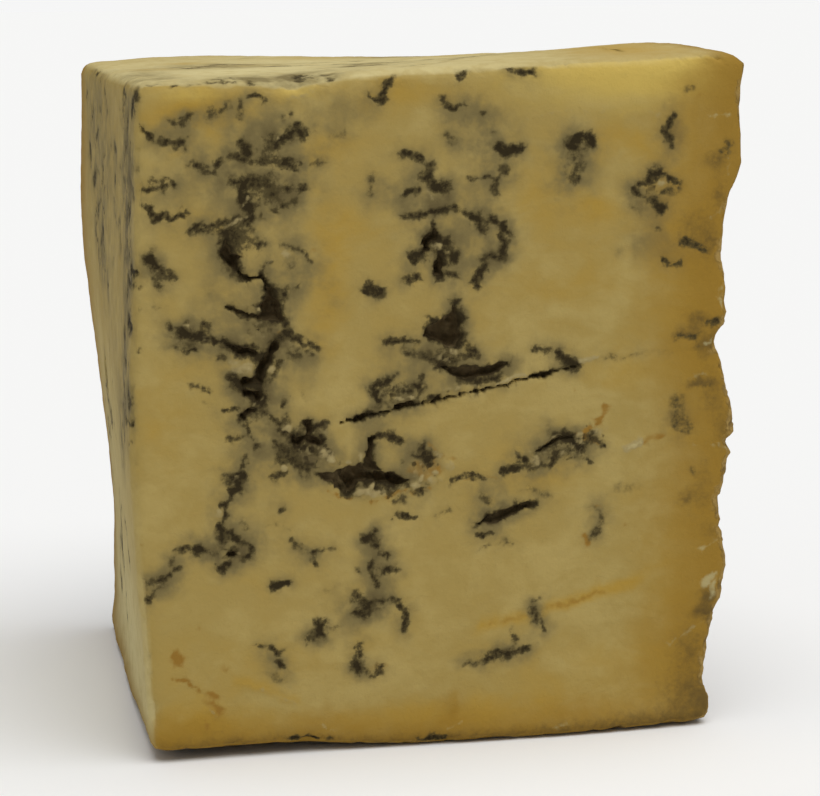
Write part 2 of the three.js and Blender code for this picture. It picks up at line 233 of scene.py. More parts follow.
# Cavities that open on the front cut: depth, then their outline (x, z)
cavities = {
    "pocket": (
        4.8, (46, 70), (46.8, 71), (47.9, 71.9), (49.3, 72.8), (50.9, 73.6), (51.3, 74.8), (51.8, 74.6),
        (52.1, 73.2), (52.7, 71.2), (52.4, 69.3), (52, 68), (50.9, 67.4), (50, 67.5), (49, 68.5),
        (47.6, 69.2)
    ),
    "leaf": (
        2.8, (48.8, 64.4), (50.6, 64.5), (54, 64.3), (56.6, 64.2), (58.8, 64.9), (60.8, 65), (60.2, 63.7),
        (57.5, 62.9), (54, 62.4), (51.8, 62.6), (50.2, 63.4)
    ),
    "mouth": (
        4.4, (32, 48.2), (33.2, 48.8), (34.4, 48.6), (35.3, 49.4), (36, 49), (35.8, 48), (36.6, 47.7),
        (38, 47.7), (39.6, 47.5), (41.2, 46.9), (42.4, 46.2), (43.8, 45.6), (42.5, 45), (41, 45),
        (39.8, 45.6), (38.4, 45.4), (37.4, 46), (36.2, 46.2), (35, 45.6), (34, 44.9), (32.9, 44.3),
        (32.3, 45.4), (31.8, 46.8)
    ),
    "mouthStem": (
        2.4, (35.2, 48), (35.8, 49.4), (36.4, 50.8), (36.8, 52.4), (37.2, 53.4), (38.2, 53.8), (38, 53),
        (37.6, 52), (37.4, 50.4), (37.6, 49.2), (38.6, 47.8)
    ),
    "mouthShelf": (
        1.3, (28, 47.6), (29.4, 48), (32, 48.2), (31.8, 46.4), (32.6, 44.4), (30.6, 45.2), (30.4, 46.3),
        (29, 46.4)
    ),
    "crumbledPatch": (
        2.8, (24.2, 54.6), (25, 54), (26.2, 54.2), (26.2, 57), (27.3, 57), (27.3, 54.8), (27, 53.9),
        (28.4, 53.6), (29, 53.4), (28.8, 52.4), (27.8, 52.6), (26.8, 52.6), (26, 53.3), (25.6, 52.2),
        (24.4, 52.4), (24, 53.2)
    ),
    "spineTop": (
        3.8, (13, 85.1), (12.9, 84), (13.5, 82.9), (14.1, 82), (14.9, 81.5), (15.6, 81.6), (15.6, 82.8),
        (16.3, 83.7), (14.6, 84.4), (14.2, 85.8), (13.7, 87.4), (13.5, 86.2)
    ),
    "spineUpper": (
        4.2, (20.4, 78.7), (20.2, 77.6), (19.8, 76.6), (19.1, 75.8), (19.3, 74.7), (18.4, 74.1),
        (18.8, 73.6), (20.8, 73.6), (21.8, 73.2), (22.4, 72.8), (23, 73.6), (22.6, 74.8), (22.4, 76.3),
        (21.6, 77.2), (21.1, 78.4)
    ),
    "spineMiddle": (
        4.4, (21.6, 70.5), (20.9, 69.6), (20.4, 68.2), (19.7, 67.4), (18.7, 66.9), (18.5, 65.8),
        (18.3, 64.4), (17.2, 63.9), (16.2, 63.9), (15.5, 63.4), (16.2, 62.6), (17.2, 63.1), (19.6, 63.1),
        (20, 64.2), (20.3, 65.4), (20.9, 66.4), (21.1, 67.6), (22, 68.4), (22.2, 69.8)
    ),
    "spineArm": (
        2.8, (13.5, 69.6), (14.6, 68.5), (15.8, 68), (17, 67.9), (18.1, 67.5), (18.4, 68), (17.4, 68.7),
        (16.6, 69.2), (15.4, 69.2), (14.4, 69.4)
    ),
    "spineLower": (
        3.2, (16.1, 62.1), (18, 61.9), (19.4, 61.4), (19.1, 60.5), (18.5, 60), (17.9, 60.7), (16.8, 60.9),
        (16.1, 61)
    ),
    "spineFoot": (
        2.8, (17.3, 59.4), (18.3, 59), (17.6, 58.2), (16.6, 57.7), (16.2, 56.9), (15.5, 57.3),
        (15.4, 58.1), (16.3, 58.5)
    ),
    "star": (
        3, (45.9, 85.3), (46.6, 86.4), (47.8, 86.5), (48.3, 87.6), (49, 87), (48.6, 85.6), (47.9, 84.9),
        (47.9, 83.5), (46.2, 83.3), (46.8, 84.4)
    ),
    "lowSlit": (
        2.4, (54.8, 37.8), (57, 39), (59.6, 40), (62.4, 40.6), (65.2, 40.9), (64, 39.8), (62, 38.9),
        (60, 38), (57.6, 37.6)
    ),
    "starFoot": (
        2.8, (48.2, 82), (48.8, 82.8), (49.7, 82.4), (49.8, 80.4), (49.4, 79.6), (48.3, 79.8), (48, 80.8)
    ),
}

# Slits that open on the front cut: width, depth, then points (x, z)
slits = [
    (0.4, 1.8, (15.4, 81.6), (16.4, 80.8), (17.4, 80.3), (18.6, 80.3), (19.6, 80.4)),
    (0.4, 1.8, (19.6, 80.4), (19.8, 79.4), (20.5, 78.4)),
    (0.4, 1.6, (14, 75.6), (15.2, 75.1), (16.5, 74.5), (17.8, 74.1), (19.5, 74)),
    (0.2, 2.2, (32.4, 55.8), (36, 56.7), (42, 58), (48.8, 59.1), (55.6, 60.3), (62.5, 61.5)),
    (0.2, 2, (62.5, 61.5), (69.3, 62.9), (72.5, 63.6)), (0.9, 2.8, (34.6, 56.3), (36.2, 56.8)),
    (0.9, 2.8, (41.6, 58), (44, 58.6)), (0.7, 2.4, (47.6, 59), (48.8, 59.4)),
    (0.6, 2.4, (65, 62), (68.2, 62.8)), (0.9, 1.6, (13.2, 34.6), (14, 34.9)),
    (0.4, 1.4, (66, 49.4), (68.6, 51), (72, 51.5)),
]

# Crumbs that stand on the front cut: x, z, size and height
crumbs = [
    (48.7, 84.4, 0.9, 0.6), (51.2, 67.1, 0.9, 0.8), (86.1, 93.9, 1, 0.3), (36.9, 45.3, 0.8, 0.5),
    (38.9, 44, 0.9, 0.4), (40.6, 44.4, 0.8, 0.4), (23.2, 55.2, 0.9, 0.4), (29.6, 51.2, 1.4, 0.3),
    (30.3, 49.9, 0.8, 0.4), (22.6, 48.9, 0.6, 0.3), (11.3, 41.5, 1, 0.4), (14.5, 35, 0.6, 0.3),
    (20.9, 65.3, 0.7, 0.5), (16.6, 65.9, 1.3, 0.3), (7.3, 72.9, 0.6, 0.2), (35, 50.3, 0.8, 0.3),
    (47.6, 46.8, 0.7, 0.3), (18.8, 75.2, 0.6, 0.3), (33.2, 49.6, 0.8, 0.3), (23.6, 84, 1.1, 0.2),
    (65, 47.9, 1.3, 0.3), (72.6, 51.4, 1.2, 0.3), (76, 52.4, 1.1, 0.2), (50.2, 47.8, 1.1, 0.5),
    (48.4, 49.8, 0.8, 0.3), (34.6, 44.3, 0.9, 0.5), (35.9, 44.6, 0.8, 0.6), (37.3, 43.8, 0.9, 0.5),
    (47.2, 45.3, 1, 0.4), (48.5, 45.6, 0.8, 0.5), (44.6, 44.8, 1, 0.4), (45.4, 46, 0.6, 0.3),
    (50.6, 83.6, 0.6, 0.2),
]

# Broken, crumbly patches of the front cut: x, z, half width, half height and strength
rubbleZones = [
    (46, 48, 4.4, 3, 0.6), (38.6, 44.2, 4.6, 1.5, 1), (27, 52.4, 5, 4.6, 0.8), (69.5, 49.4, 5, 2.4, 0.8),
    (75.4, 52.2, 3, 1.8, 0.7), (18.2, 60.6, 3.4, 4.6, 0.6), (50.4, 66.2, 3, 1.6, 0.9),
    (41.6, 60.6, 3.6, 2.2, 0.7), (49.4, 82.4, 2.6, 4, 0.5), (85.6, 93.4, 2.4, 2.4, 0.6),
    (17.6, 90.8, 4, 3.4, 0.5), (18.4, 71.4, 3.4, 2.2, 0.6), (8.4, 70.8, 3.6, 1.8, 0.5),
    (14.4, 46.8, 1.6, 3, 0.6), (37.8, 30, 2.2, 4, 0.3),
]

# Pale scuffs, and lips along the crack whose pale line is a painted highlight: width, strength, then points
# (x, z)
scuffsAndLipHighlights = [
    (1.8, 0.3, (64, 105), (70, 106.2), (78, 106), (86, 105.2)),
    (0.6, 1, (41.3, 59.2), (43.4, 59.8), (44.6, 59.4)), (0.4, 0.5, (49, 60.5), (56, 61.4)),
    (0.6, 1, (57.9, 61.2), (61, 62), (63.6, 62.6)), (0.7, 1.1, (73, 64.5), (76.1, 65)),
    (1.5, 1.1, (80.9, 49.2), (82.4, 50), (83.4, 50.3)), (0.5, 0.5, (86.5, 96.5), (88.5, 95)),
    (0.6, 0.6, (13.6, 88.8), (14.9, 89.5), (16.4, 90)),
    (0.5, 0.6, (22.3, 102.3), (23.3, 103.6), (24.1, 104.5)), (0.5, 0.5, (16.7, 92.1), (17.6, 93.4)),
    (0.5, 0.6, (20.3, 82), (20.9, 83.4), (22.2, 83.5), (24.2, 82.2)),
    (2.4, 0.55, (14.8, 66), (16.8, 65.4)), (1.6, 0.3, (28.4, 50.6), (30.6, 49.4)),
    (0.7, 0.5, (62.6, 49), (65.2, 49.8), (67.1, 51), (69.6, 52.2)), (1.2, 0.5, (46.5, 93.5), (48, 92.6)),
    (0.8, 0.5, (24, 108.8), (26.8, 109.4), (29.2, 110.6)), (0.6, 0.6, (19.8, 110.4), (20.6, 109)),
    (0.6, 0.5, (21.5, 63.6), (22.4, 65.6), (22.8, 67.6)), (0.6, 0.6, (9.4, 8.6), (10.2, 7.6)),
    (0.7, 0.4, (14.6, 12.8), (19.6, 11), (24, 8.6)), (0.5, 0.5, (0.4, 30.6), (2.6, 30.2)),
    (0.5, 0.6, (6.6, 14), (8.2, 12)),
]

# Orange marks: width, strength, then points (x, z)
rustMarks = [
    (1.4, 0.85, (3.8, 18.4), (4.6, 17.8), (4.3, 17.2)), (0.6, 0.6, (7.9, 22.4), (7.9, 22.6)),
    (1.2, 0.45, (11.7, 16.4), (12.1, 15.2)), (0.6, 0.5, (3.2, 14.6), (3.3, 14.2)),
    (0.6, 0.9, (4.3, 14.1), (6.7, 13.3), (7.3, 12.7), (7.9, 11.3)), (1.6, 0.7, (9.4, 11.6), (10.9, 10.8)),
    (1.6, 0.7, (10.2, 9.8), (10.8, 8.4)), (0.8, 0.7, (8.9, 6.6), (9, 5.8)),
    (2.4, 0.4, (9.4, 10), (10.4, 8)), (1.2, 0.8, (-1.9, 37.6), (-1.5, 37.2)),
    (0.8, 0.6, (-1.4, 88.7), (-0.8, 88.6)), (0.7, 0.4, (57, 20.5), (63.6, 21.6)),
    (0.9, 0.5, (67.4, 22.4), (72, 23.5), (77, 24.8)), (0.9, 0.45, (75.3, 39.8), (76.4, 39.4)),
    (1.1, 0.7, (73.9, 34.4), (74.4, 33.4)), (0.8, 0.45, (80.7, 36), (80.8, 36.2)),
    (0.9, 0.5, (71.9, 59.9), (72.2, 59.5)), (1, 0.8, (77.3, 56.6), (77.9, 56.4)),
    (0.8, 1, (77.3, 56.4), (77.2, 54.8), (75.9, 53.8)), (0.8, 0.9, (75.2, 53.4), (73.6, 52.3)),
    (0.7, 0.7, (72.1, 52), (69.6, 51.9), (67.1, 50.8)), (0.8, 0.7, (73.9, 51.6), (75.9, 50.4)),
    (4, 0.42, (43.6, 47.8), (47.4, 47.2)), (0.9, 0.6, (46.8, 51.6), (47.8, 50.6)),
    (0.6, 0.6, (39.6, 43.3), (43.2, 43.8), (47, 44.2)), (0.6, 0.6, (52.6, 45), (54, 45.6)),
    (0.6, 0.6, (49.4, 49.4), (51.2, 49)), (0.9, 0.6, (48.4, 47.8), (48.6, 46.6)),
    (0.5, 0.6, (57, 45.8), (58.2, 45.8)), (1.2, 0.7, (84.2, 50), (85.5, 50.8), (86.8, 51.3)),
    (0.4, 0.8, (29.4, 44.6), (31.6, 43.6), (33.8, 43.2)), (0.4, 0.6, (36.6, 42.8), (41, 42.6)),
    (1.4, 0.35, (36.6, 13.8), (39.4, 14.4)), (0.8, 0.4, (92.4, 108), (92.9, 108.5)),
    (0.6, 0.4, (21.6, 71.6), (22.4, 71.2)), (0.7, 0.4, (28.4, 84.6), (27.2, 84.2)),
    (0.9, 0.3, (63, 13.6), (64, 14.8)), (0.6, 0.3, (50.2, 2), (50.5, 6)),
]

# Broad soft golden streaks of the front cut, given like the marks
warmStreaks = [
    (1.5, 0.6, (55.5, 20), (60, 21), (65, 21.7)), (1.7, 0.8, (66, 22), (74, 24), (78, 25.1), (82.5, 26)),
    (1.5, 0.5, (84, 27.5), (90, 30)), (1.5, 0.5, (14.6, 13.4), (19.6, 11.4), (24, 9.4)),
]

# Broad tones of the front cut: x, z, half width, half height and strength
goldZones = [
    (9, 107, 9, 3.4, 1), (6, 101, 3, 1.6, 0.6), (40, 109.5, 16, 3, 0.6), (80, 101, 9, 3, 0.6),
    (31, 84, 3, 8, 0.6), (30, 74, 3.5, 8, 0.5), (72, 77, 17, 9, 0.4), (93, 82, 8, 28, 0.7),
    (76, 90, 5, 3, 0.6), (66, 92, 8, 6, 0.5), (20, 16, 22, 6, 0.25), (80, 12, 18, 5, 0.5),
    (92, 24, 8, 20, 0.7), (30, 101, 6, 4, 0.5), (4, 58, 5, 12, 0.35), (32, 87, 6, 4, 0.5),
    (66, 46, 10, 5, 0.4), (10, 90, 5, 3, 0.3), (80, 62, 8, 4, 0.5), (5, 5, 11, 4.5, 1),
    (48, 5, 40, 3, 0.7),
]
# Painted highlight along the rounded top edge of the front cut, given like the broad tones
highlightZones = [(84, 112.5, 24, 6, 1), (9, 110, 9, 1.8, 0.5), (26, 110.5, 4, 1.8, 0.6)]
hazeZones = [
    (33, 107, 6, 4, 0.35), (45.2, 47.4, 3.6, 2.4, 0.45), (66, 52, 9, 3, 0.2), (29.6, 50, 3.6, 1.8, 0.6),
    (20, 95, 10, 7, 0.5), (10, 98, 8, 5, 0.25), (20, 104.5, 6, 3, 0.45), (12, 78, 7, 7, 0.25),
    (24, 78.5, 4, 4.5, 0.3), (8, 70.5, 6, 3.5, 0.3), (53, 84, 8, 6, 0.45), (42, 94, 6, 4, 0.35),
    (47, 91.5, 5, 3, 0.4), (57, 96, 5, 4, 0.35), (54, 104, 5, 4, 0.35), (25, 66, 5, 3, 0.35),
    (20, 56.5, 4, 5, 0.4), (24, 50, 5, 4, 0.4), (45, 50, 4, 2.4, 0.35), (48, 66.5, 8, 3, 0.35),
    (50, 62, 10, 2.5, 0.3), (41, 60.5, 4.5, 3, 0.4), (57, 103, 6, 4, 0.3), (71.5, 97, 4.6, 5.6, 0.6),
    (86, 90.5, 4, 2, 0.3), (86, 84, 5, 3.5, 0.35), (88, 102.5, 2.2, 4, 0.5), (90, 54, 2.6, 3.8, 0.6),
    (69, 48, 5, 3, 0.3), (58, 41.5, 5, 4, 0.3), (76, 37, 2.5, 4, 0.3), (12, 35.5, 7, 2.5, 0.35),
    (38, 33, 3.5, 5, 0.3), (36, 24, 6, 4, 0.3), (2, 30, 3, 2.5, 0.4), (56, 14.5, 5, 1.8, 0.3),
    (21, 15, 3, 3.5, 0.25), (93, 69, 4, 2, 0.4), (19, 66, 5, 8, 0.25), (17, 52, 4, 7, 0.25),
    (14, 41, 4, 6, 0.22), (28, 49, 6, 3, 0.35), (24, 83, 5, 4, 0.35), (32, 76.5, 3, 3, 0.25),
    (27.5, 80, 3, 3, 0.25), (82, 84, 2, 2.5, 0.3),
]

# Dark speckled patches between the veins, given like the broad tones
murkZones = [
    (20.6, 94.6, 3.2, 2.6, 0.8), (16.5, 95.7, 2.2, 1.4, 0.6), (17.4, 101, 1.4, 1.6, 0.6),
    (21.2, 101, 1.6, 2.6, 0.7), (24.3, 98.6, 2.4, 1, 0.7), (26.8, 103.5, 2.2, 1.4, 0.5),
    (25.2, 94.7, 2, 0.9, 0.6), (23, 92, 3, 0.9, 0.6), (15.2, 86.6, 2.2, 3, 0.9),
    (18.3, 85.5, 2.4, 2, 0.5), (13, 107.3, 2.4, 1.2, 0.5), (1.8, 95.6, 2.4, 1.6, 0.5),
    (3.4, 81, 2, 2.4, 0.6), (24.2, 82, 2.6, 2.6, 0.35), (19.6, 72.4, 2, 1.8, 0.5),
    (7.4, 71.4, 3.4, 1.8, 0.5), (25.2, 68.4, 3, 1.2, 0.45), (18.2, 61, 1.6, 3, 0.5),
    (16.6, 58, 2.4, 1.6, 0.5), (23.4, 60.2, 1.8, 1.6, 0.35), (24, 51.8, 3.4, 2.8, 0.6),
    (26.6, 54.4, 2.6, 2.4, 0.5), (13.8, 47.2, 1.8, 1.2, 0.5), (15.2, 36.4, 3.4, 1.4, 0.4),
    (8, 36, 3.6, 1.2, 0.4), (2, 31.6, 3, 1.2, 0.3), (41, 61, 2.6, 2, 0.6), (50, 66.6, 4, 1.4, 0.6),
    (56, 62.4, 4, 0.9, 0.6), (66.5, 65.8, 1.8, 1, 0.45), (46, 50.4, 2.6, 1.2, 0.5),
    (69, 49.2, 4.6, 1.6, 0.5), (65.4, 45, 3, 1.2, 0.2), (48.4, 84, 3, 3, 0.6), (55.8, 88, 3.6, 3, 0.35),
    (60, 85, 1.4, 3, 0.4), (49, 94.4, 2.6, 1.4, 0.5), (73, 100.6, 2.2, 1.4, 0.5),
    (71.8, 97, 2.2, 2.8, 0.5), (85.2, 91.6, 2.6, 2.2, 0.35), (38, 30.5, 1.8, 3, 0.4),
    (36.4, 24.6, 3, 1.4, 0.5), (28, 21, 1.8, 1.8, 0.5), (35, 15.6, 1.4, 2.6, 0.4), (59.6, 15, 4, 1, 0.5),
    (66, 20.6, 1, 2.6, 0.4), (26.4, 2, 4, 1.6, 0.6), (46.6, 0.6, 4, 1.2, 0.7),
]

# Grey-brown dotted patches of the band under the rind, given like the broad tones
rimBlots = [
    (95.2, 97.5, 2.4, 1.8, 0.65), (96.8, 92, 1.6, 3, 0.6), (92, 86.5, 3.4, 4, 0.45),
    (95, 84, 1.8, 4, 0.6), (92.5, 70.8, 2.6, 1.8, 0.7), (90, 68.4, 2.6, 0.9, 0.7),
    (95.2, 66.5, 2.4, 2.4, 0.7), (95.6, 58.5, 2.8, 4, 0.5), (93.5, 60.2, 3, 0.8, 0.8),
    (97.6, 52, 2.2, 4, 0.5), (94, 42, 3, 5, 0.4), (91, 40, 2, 1.6, 0.5), (95.6, 34.2, 2.4, 1.8, 0.45),
    (95.4, 22.4, 1.8, 2.4, 0.9), (94, 20, 2.4, 1, 0.9), (92, 14, 3.6, 5, 0.5), (96, 5, 9, 5.5, 0.85),
    (84, 1, 16, 2.6, 0.5), (45, 0, 60, 2.2, 0.7), (12, 0, 16, 3.4, 0.9), (97.7, 99.5, 1.4, 2.4, 0.3),
]

# Where the browned band over the base reaches higher up the front cut
brownRises = [(50.4, 6, 1.8, 4.4, 0.65), (5, 5, 9, 5, 0.45), (28, 6, 5, 3, 0.25), (72, 5, 6, 3, 0.2)]

# Whitish flakes of the rind's edge: width, strength, then points (x, z)
flakes = [
    (0.8, 0.5, (94.2, 104.6), (96.3, 105), (98.3, 104.7)),
    (0.8, 0.6, (95.4, 87.9), (96.9, 88.7), (97.7, 90.4)),
    (0.8, 0.7, (97, 76.5), (96.6, 74.8), (97.3, 72.3)), (0.6, 0.6, (95, 66.6), (96.2, 67.8)),
    (0.5, 0.5, (91.7, 49.2), (94.8, 49.6), (97.9, 49.4)),
    (1.6, 0.8, (94.8, 24.8), (95.4, 26), (96.2, 27)), (1.2, 0.7, (95.9, 23.4), (96.6, 25.2)),
    (1.2, 0.6, (94.1, 31.1), (95.4, 31.9), (96.7, 32.5)), (0.6, 0.6, (97.6, 37.6), (97.9, 34)),
    (0.6, 0.5, (88.4, 15), (91.4, 16.6), (94, 18.4)), (0.9, 0.6, (95.4, 5.2), (96, 6.8)),
    (0.8, 0.4, (92, 60.9), (95, 61.6)), (0.5, 0.5, (98.4, 44.6), (98.6, 49)),
    (0.6, 0.4, (97.8, 95), (98, 100)), (0.7, 0.5, (28.2, 4.8), (31.4, 3)),
    (0.8, 0.5, (49.6, 2.6), (51.8, 4.2)), (0.6, 0.5, (67, 1.8), (70.4, 2)),
]

# How far the rind stands out beside the front cut: height and mm
rimProfile = [
    (0, 0.6), (4.5, 1), (7, 0.2), (10, 0.4), (16, 0.6), (19, 0.9), (20.6, 0.3), (22, 0.6), (26, 0.4),
    (29.5, 0.3), (32, 0.5), (36.5, 1), (40, 0.5), (45, 0.7), (46.6, 0.5), (47.4, 1.2), (48.6, 0.5),
    (49.9, -0.3), (51, 0.9), (52.6, 0.5), (58, 0.6), (62, 0), (67.4, -0.2), (68.4, 0.8), (69.8, 1.6),
    (71.6, 1), (73.2, 0.3), (76, 0.7), (81, 0.3), (90, 0.3), (97, 0.9), (101, 0.7), (106, 0.4),
    (110, 0.5), (113.4, 1.2), (116.2, -2.2), (120, -2.2),
]

# Pale patches, gold, haze and speckled patches of the left cut (y, z) and the top (x, y); the left's pale
# patches are painted light bounced up from the floor, the top's are partly drier paste and partly painted
# light from above with a grazing sheen
leftBounceLight = [(40, 12, 60, 20, 1), (60, 44, 40, 16, 0.45)]
leftHaze = [
    (12, 98, 8, 14, 0.5), (10, 80, 8, 12, 0.4), (12, 60, 8, 10, 0.45), (54, 95, 40, 16, 0.3),
    (56, 78, 14, 8, 0.3), (26, 50, 9, 8, 0.35), (30, 64, 24, 14, 0.2), (70, 106, 24, 9, 0.25),
]
leftMurk = [
    (3.5, 108.5, 3, 2.4, 0.6), (12, 104, 3, 4, 0.4), (26, 88, 3, 2.4, 0.35), (14, 83, 3, 2, 0.4),
    (10, 78, 2.4, 2.4, 0.4), (11, 94, 3, 3, 0.35), (18, 108, 3, 3, 0.5), (17, 100, 4, 4, 0.4),
    (15, 90, 5, 5, 0.4), (9, 85, 4, 3, 0.5), (4, 80.5, 3, 2.4, 0.6), (5, 73, 3, 3, 0.7),
    (10, 66, 4, 3, 0.4), (3.6, 60.6, 2.4, 2, 0.7), (16, 52.6, 5, 3, 0.4), (32, 33, 4, 2, 0.4),
    (29, 29, 3, 2, 0.4), (61, 84, 3, 3, 0.3), (56, 44, 5, 3, 0.3), (50, 30, 3, 4, 0.25),
]
topLitAndDried = [(20, 30, 60, 70, 1), (80, 60, 60, 60, 0.8)]
topGold = [
    (42, 78, 8, 6, 0.7), (56, 76, 9, 6, 0.7), (62, 54, 9, 7, 0.6), (8, 45, 6, 6, 0.6),
    (16, 64, 6, 6, 0.7), (25, 50, 7, 6, 0.5), (84, 20, 14, 22, 0.9),
]
topHaze = [
    (24, 6, 12, 8, 0.45), (60, 34, 14, 8, 0.35), (20, 50, 14, 12, 0.4), (40, 20, 12, 8, 0.3),
    (4, 20, 6, 24, 0.35), (60, 72, 14, 10, 0.35),
]
topMurk = [
    (16, 4, 4, 3, 0.45), (28, 6, 4, 4, 0.5), (42, 19, 4, 2, 0.4), (31, 44, 4, 3, 0.4),
    (20, 54, 5, 5, 0.4), (62, 74, 4, 5, 0.5), (70, 50, 4, 3, 0.4),
]

# Veins given one by one on the left cut (y, z) and on the top (x, y)
leftStrokes = [
    (2, 0.8, (2, 110), (5, 107.5)), (1.4, 0.5, (11, 107), (13, 104)), (1.2, 0.5, (10.5, 92), (12, 90)),
    (1.6, 0.4, (25, 88.5), (28, 87)), (1.2, 0.5, (14, 84), (16, 82.5)), (1.4, 0.6, (10, 79.5), (11, 77)),
    (1.2, 0.9, (5, 82), (1.5, 81.8)), (0.8, 0.8, (9, 80), (4, 79.6)), (2.2, 0.95, (7, 73.5), (4, 72.5)),
    (1.8, 0.9, (4.5, 62), (3, 60)), (0.8, 0.7, (10, 56.5), (2, 57)), (1.4, 0.5, (19, 110), (16, 109.6)),
    (1.2, 0.5, (15, 101), (12, 100.2)), (1, 0.5, (19.4, 95.6), (16.4, 95)), (1, 0.7, (13, 91), (9, 90.5)),
    (1.2, 0.5, (12, 66.5), (9, 66)), (1, 0.5, (18, 53), (14, 52.4)), (1.2, 0.6, (37, 33.8), (33, 33.2)),
    (1.2, 0.7, (32, 29), (26, 28.6)), (1, 0.7, (64, 101.5), (68, 99.8)),
    (0.9, 0.6, (73, 104.5), (76.5, 103)), (1.2, 0.7, (81, 98), (78.5, 94.5)),
    (1, 0.6, (84, 108), (87.5, 106.2)), (1.4, 0.7, (70, 93), (73, 91.6)),
]
topStrokes = [
    (0.6, 0.4, (2, 0.8), (8, 0.6), (16, 1.4)), (1, 0.5, (13.6, 2), (14.8, -1)),
    (1, 0.5, (18.4, 4), (18.6, 0)), (1.4, 0.6, (27.2, 9), (26.8, 3)), (1.2, 0.5, (31, 5), (31.6, 1)),
    (1.4, 0.5, (38, 19), (41, 20)), (1.4, 0.5, (44, 33), (48, 35)), (1.6, 0.45, (28, 44), (33, 43)),
    (1.8, 0.45, (14, 46), (18, 52)), (1.6, 0.5, (21, 58), (24, 55)),
    (0.8, 0.4, (44, 7), (52, 12), (60, 26)), (0.8, 0.35, (60, 30), (68, 46), (78, 56)),
]

# Those two cuts also repeat groups of the front's veins, with the cavity of the same name, turned
# and moved: group, mirror, degrees, shares of width and darkness, where the front's middle lands
stamps = {
    "left": [
        ("upperMid", 1, 4, (0.75, 0.6), (62, 53)), ("lowerMid", -1, 6, (0.8, 0.6), (66, 66)),
        ("pocket", -1, -8, (0.9, 0.6), (64, 40)), ("right", 1, 180, (0.9, 0.6), (90, 62)),
        ("upperLeft", -1, 6, (0.8, 0.45), (-20, 52)), ("lowerLeft", -1, -10, (0.8, 0.5), (-20, 84)),
    ],
    "top": [
        ("spine", 1, 62, (0.7, 0.25), (72, 54)), ("lowerMid", 1, 100, (0.8, 0.3), (14, 62)),
        ("upperLeft", -1, 148, (0.8, 0.25), (78, 98)), ("smile", 1, 72, (0.8, 0.3), (30, 22)),
    ],
}
frontMiddle = (50.0, 55.0)  # x, z about which the groups turn
stampedDepth = 0.7  # share of a cavity's depth that its copy keeps


def smoothStep(value, low, high):
    share = np.clip((value - low) / (high - low), 0.0, 1.0)
    return share * share * (3.0 - 2.0 * share)


# 1 at 0, dying away on both sides
def hump(distance):
    return np.exp(-distance * distance)


# Kind of the noise: how its octaves fade and shrink, and which way a shift moves it
fractal = {"fade": 0.7, "step": 2.0, "shifts": (1.0, 2.3, -1.7)}


# Smooth noise of a height, of bumps that are about size mm across
def bumps(points, height, size, octaves, shift):
    fade, step = fractal["fade"], fractal["step"]
    offset = Vector([shift * factor for factor in fractal["shifts"]])
    return height * np.array([noise.fractal(Vector(p) / size + offset, fade, step, octaves) for p in points])


# Distance from each point of a face to a stroke's path, and which points lie within reach of it
def strokeDistance(points, path, reach):
    path = np.array(path)
    low = path.min(0) - reach
    high = path.max(0) + reach
    near = np.flatnonzero(((points > low) & (points < high)).all(1))
    spots = points[near]
    nearest = np.full(len(near), reach)
    for start, end in zip(path[:-1], path[1:]):
        along = end - start
        share = np.clip((spots - start) @ along / max(along @ along, 1e-9), 0.0, 1.0)
        nearest = np.minimum(nearest, np.linalg.norm(spots - start - share[:, None] * along, axis=1))
    return near, nearest


# How far each point of a face lies inside an outline, in mm, less than 0 outside it
def insideOutline(points, outline, reach):
    near, away = strokeDistance(points, outline + outline[:1], reach)
    spots = points[near]
    inside = np.zeros(len(near), bool)
    for (u0, v0), (u1, v1) in zip(outline, outline[1:] + outline[:1]):
        crosses = (v0 > spots[:, 1]) != (v1 > spots[:, 1])
        level = np.where(crosses, (spots[:, 1] - v0) / ((v1 - v0) or 1.0), 0.0)
        inside ^= crosses & (spots[:, 0] < u0 + level * (u1 - u0))
    return near, np.where(inside, away, -away)


# Noise of the strokes is given as height, size in mm, octaves and shift
brush = {
    "full": 0.92,  # share of a stroke's width that is darkened fully
    "soft": (0.3, 0.2),  # mm of soft rim, and what each mm of width adds to it
    "spare": 0.6,  # mm past its rim that a stroke is looked for
    "hazeSpare": 2.5,  # how many times its reach a haze is looked for
    "hazeWidest": 1.5,  # mm of width past which a stroke gives no more haze
    # mm that strokes wander off their paths, across and up
    "drift": [[(0.5, 2.6, 2, 5.1), (0.3, 1.1, 2, 25.1)], [(0.5, 2.6, 2, 17.3), (0.3, 1.1, 2, 37.3)]],
    "zoneDrift": 2.0,  # broad zones drift so many times as far
    "hollowDrift": 0.8,  # and so do cavities and slits
    "scuffDrift": 0.6,
    "ragged": (0.4, 1.2, 3, 53.0),  # mm that their rims come and go
    "swollen": (0.9, 4.0, 2, 59.0),  # share by which their width comes and goes
    "rough": (1.0, 1.25, 3, 31.0),  # for crumbs, dips and the floors of cavities
}


# Highest share of each point under the strokes: 1 in a stroke, falling to 0 over a soft rim
def paintStrokes(points, strokes, ragged, swollen):
    paint = np.zeros(len(points))
    least, more = brush["soft"]
    for width, strength, *path in strokes:
        half = brush["full"] * width / 2
        soft = least + more * width
        near, away = strokeDistance(points, path, 2 * half + soft + brush["spare"])
        inside = half * (1 + swollen[near]) - away + ragged[near]
        share = np.clip(0.5 + inside / (2 * soft), 0.0, 1.0)
        paint[near] = np.maximum(paint[near], strength * share)
    return paint


# A soft haze around strokes: it builds up where they lie close together
def hazeStrokes(points, strokes, reach, strength):
    clear = np.ones(len(points))
    for width, darkness, *path in strokes:
        near, away = strokeDistance(points, path, brush["hazeSpare"] * reach)
        clear[near] *= 1.0 - strength * darkness * min(width, brush["hazeWidest"]) * hump(away / reach)
    return 1.0 - clear


